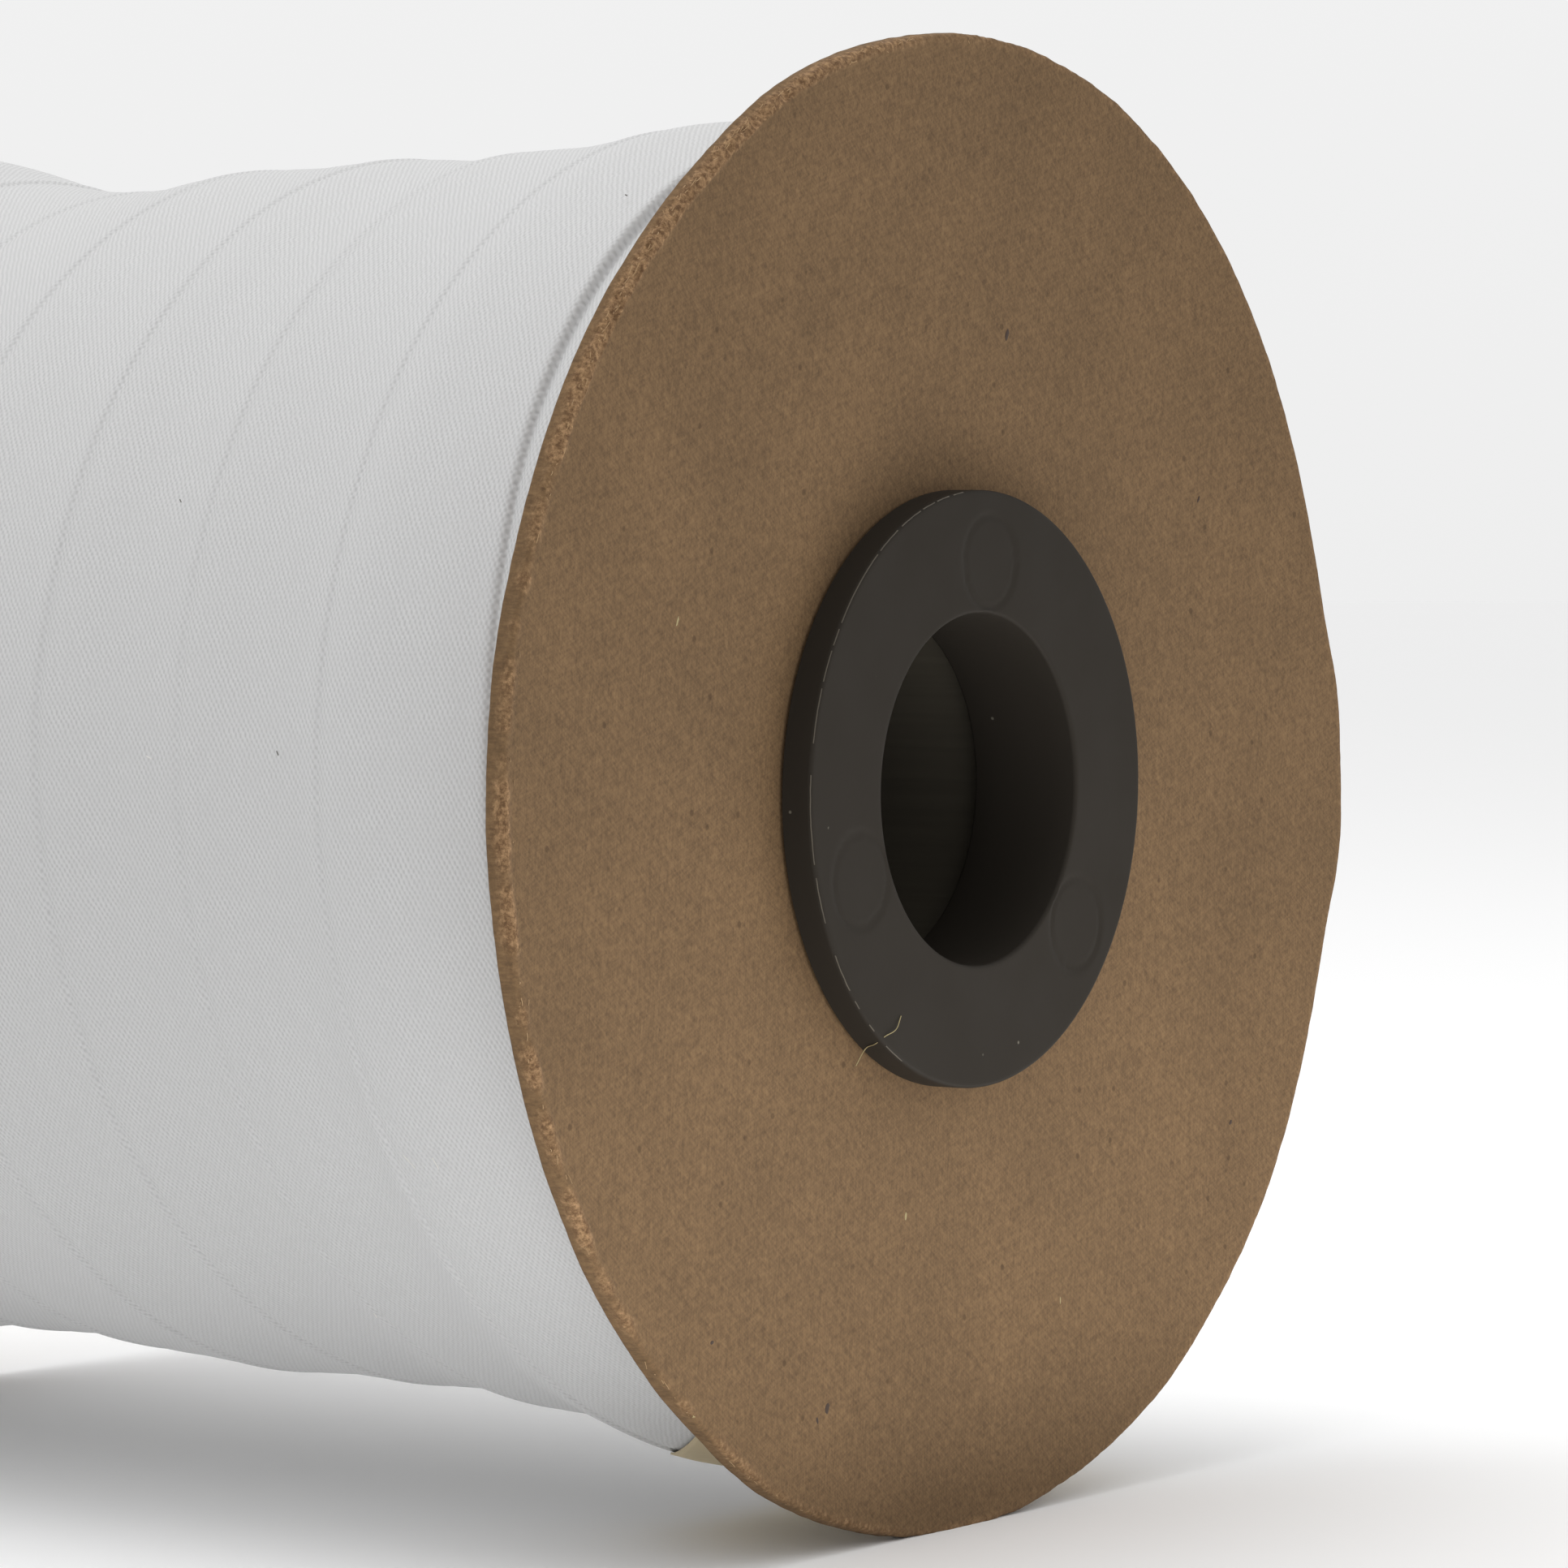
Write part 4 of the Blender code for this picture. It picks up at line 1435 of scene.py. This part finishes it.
class BIASTAPE_OT_stage(bpy.types.Operator):
    """Sets up the pale floor, the soft lamps and the camera"""

    bl_idname = "bias_tape.stage"
    bl_label = "Stage"

    def execute(self, context):
        settings = context.scene.bias_tape.stage
        world = bpy.data.worlds.new("soft_sky")
        world.use_nodes = True
        sky = world.node_tree.nodes["Background"]
        sky.inputs["Color"].default_value = (1.0, 1.0, 1.0, 1.0)
        # The backdrop is bright, the room behind the camera is dimmer, and the zenith adds a little
        tree = world.node_tree
        direction = add_node(tree, "TexCoord").outputs["Generated"]
        facing = add_node(
            tree, "VectorMath", {0: direction, 1: (-0.25, 0.93, 0.27)}, operation="DOT_PRODUCT"
        )
        level = add_node(
            tree,
            "MapRange",
            {
                "Value": facing.outputs["Value"],
                "From Min": -0.8,
                "From Max": 0.5,
                "To Min": settings.room * settings.sky,
                "To Max": settings.sky,
            },
            interpolation_type="SMOOTHSTEP",
        )
        height = add_node(tree, "SeparateXYZ", {"Vector": direction})
        glow = add_node(tree, "Math", {0: height.outputs["Z"], 1: settings.zenith}, operation="MULTIPLY")
        both = add_node(tree, "Math", {0: glow.outputs[0], 1: level.outputs[0]}, operation="ADD")
        tree.links.new(both.outputs[0], sky.inputs["Strength"])
        context.scene.world = world
        context.scene.view_settings.view_transform = "Standard"

        middle = (0.0, 0.0, AXIS_HEIGHT)
        add_floor(settings)
        add_lamp("overhead_lamp", 0.7, 0.5, settings.key, (-0.10, -0.12, 0.85), middle)
        add_lamp("under_glow", 0.15, 0.07, settings.under_glow, (-0.03, -0.015, 0.0006), (-0.03, -0.015, 0.1))
        add_lamp("right_glow", 0.06, 0.16, settings.right_glow, (0.098, -0.005, 0.002), (0.098, -0.005, 0.1))
        add_camera(settings)
        return {"FINISHED"}


# Panel and registration


class BIASTAPE_PT_spool(bpy.types.Panel):
    """Buttons and settings for the spool"""

    bl_label = "Bias Tape Roll"
    bl_idname = "BIASTAPE_PT_spool"
    bl_space_type = "VIEW_3D"
    bl_region_type = "UI"
    bl_category = "Bias Tape"

    def draw(self, context):
        settings = context.scene.bias_tape
        for operator, group in (
            (BIASTAPE_OT_wound_tape, settings.tape),
            (BIASTAPE_OT_boards, settings.boards),
            (BIASTAPE_OT_hubs, settings.hubs),
            (BIASTAPE_OT_paper_tab, settings.tab),
            (BIASTAPE_OT_loose_fibres, None),
            (BIASTAPE_OT_stage, settings.stage),
        ):
            box = self.layout.box()
            box.operator(operator.bl_idname)
            for name in group.__annotations__ if group else ():
                box.prop(group, name)


CLASSES = (
    BIASTAPE_PG_tape,
    BIASTAPE_PG_boards,
    BIASTAPE_PG_hubs,
    BIASTAPE_PG_tab,
    BIASTAPE_PG_stage,
    BIASTAPE_PG_settings,
    BIASTAPE_OT_wound_tape,
    BIASTAPE_OT_boards,
    BIASTAPE_OT_hubs,
    BIASTAPE_OT_paper_tab,
    BIASTAPE_OT_loose_fibres,
    BIASTAPE_OT_stage,
    BIASTAPE_PT_spool,
)


def register():
    for each in CLASSES:
        bpy.utils.register_class(each)
    bpy.types.Scene.bias_tape = PointerProperty(type=BIASTAPE_PG_settings)


def unregister():
    del bpy.types.Scene.bias_tape
    for each in reversed(CLASSES):
        bpy.utils.unregister_class(each)


def main():
    register()
    bpy.ops.bias_tape.wound_tape()
    bpy.ops.bias_tape.boards()
    bpy.ops.bias_tape.hubs()
    bpy.ops.bias_tape.paper_tab()
    bpy.ops.bias_tape.loose_fibres()
    bpy.ops.bias_tape.stage()


if __name__ == "__main__":
    main()
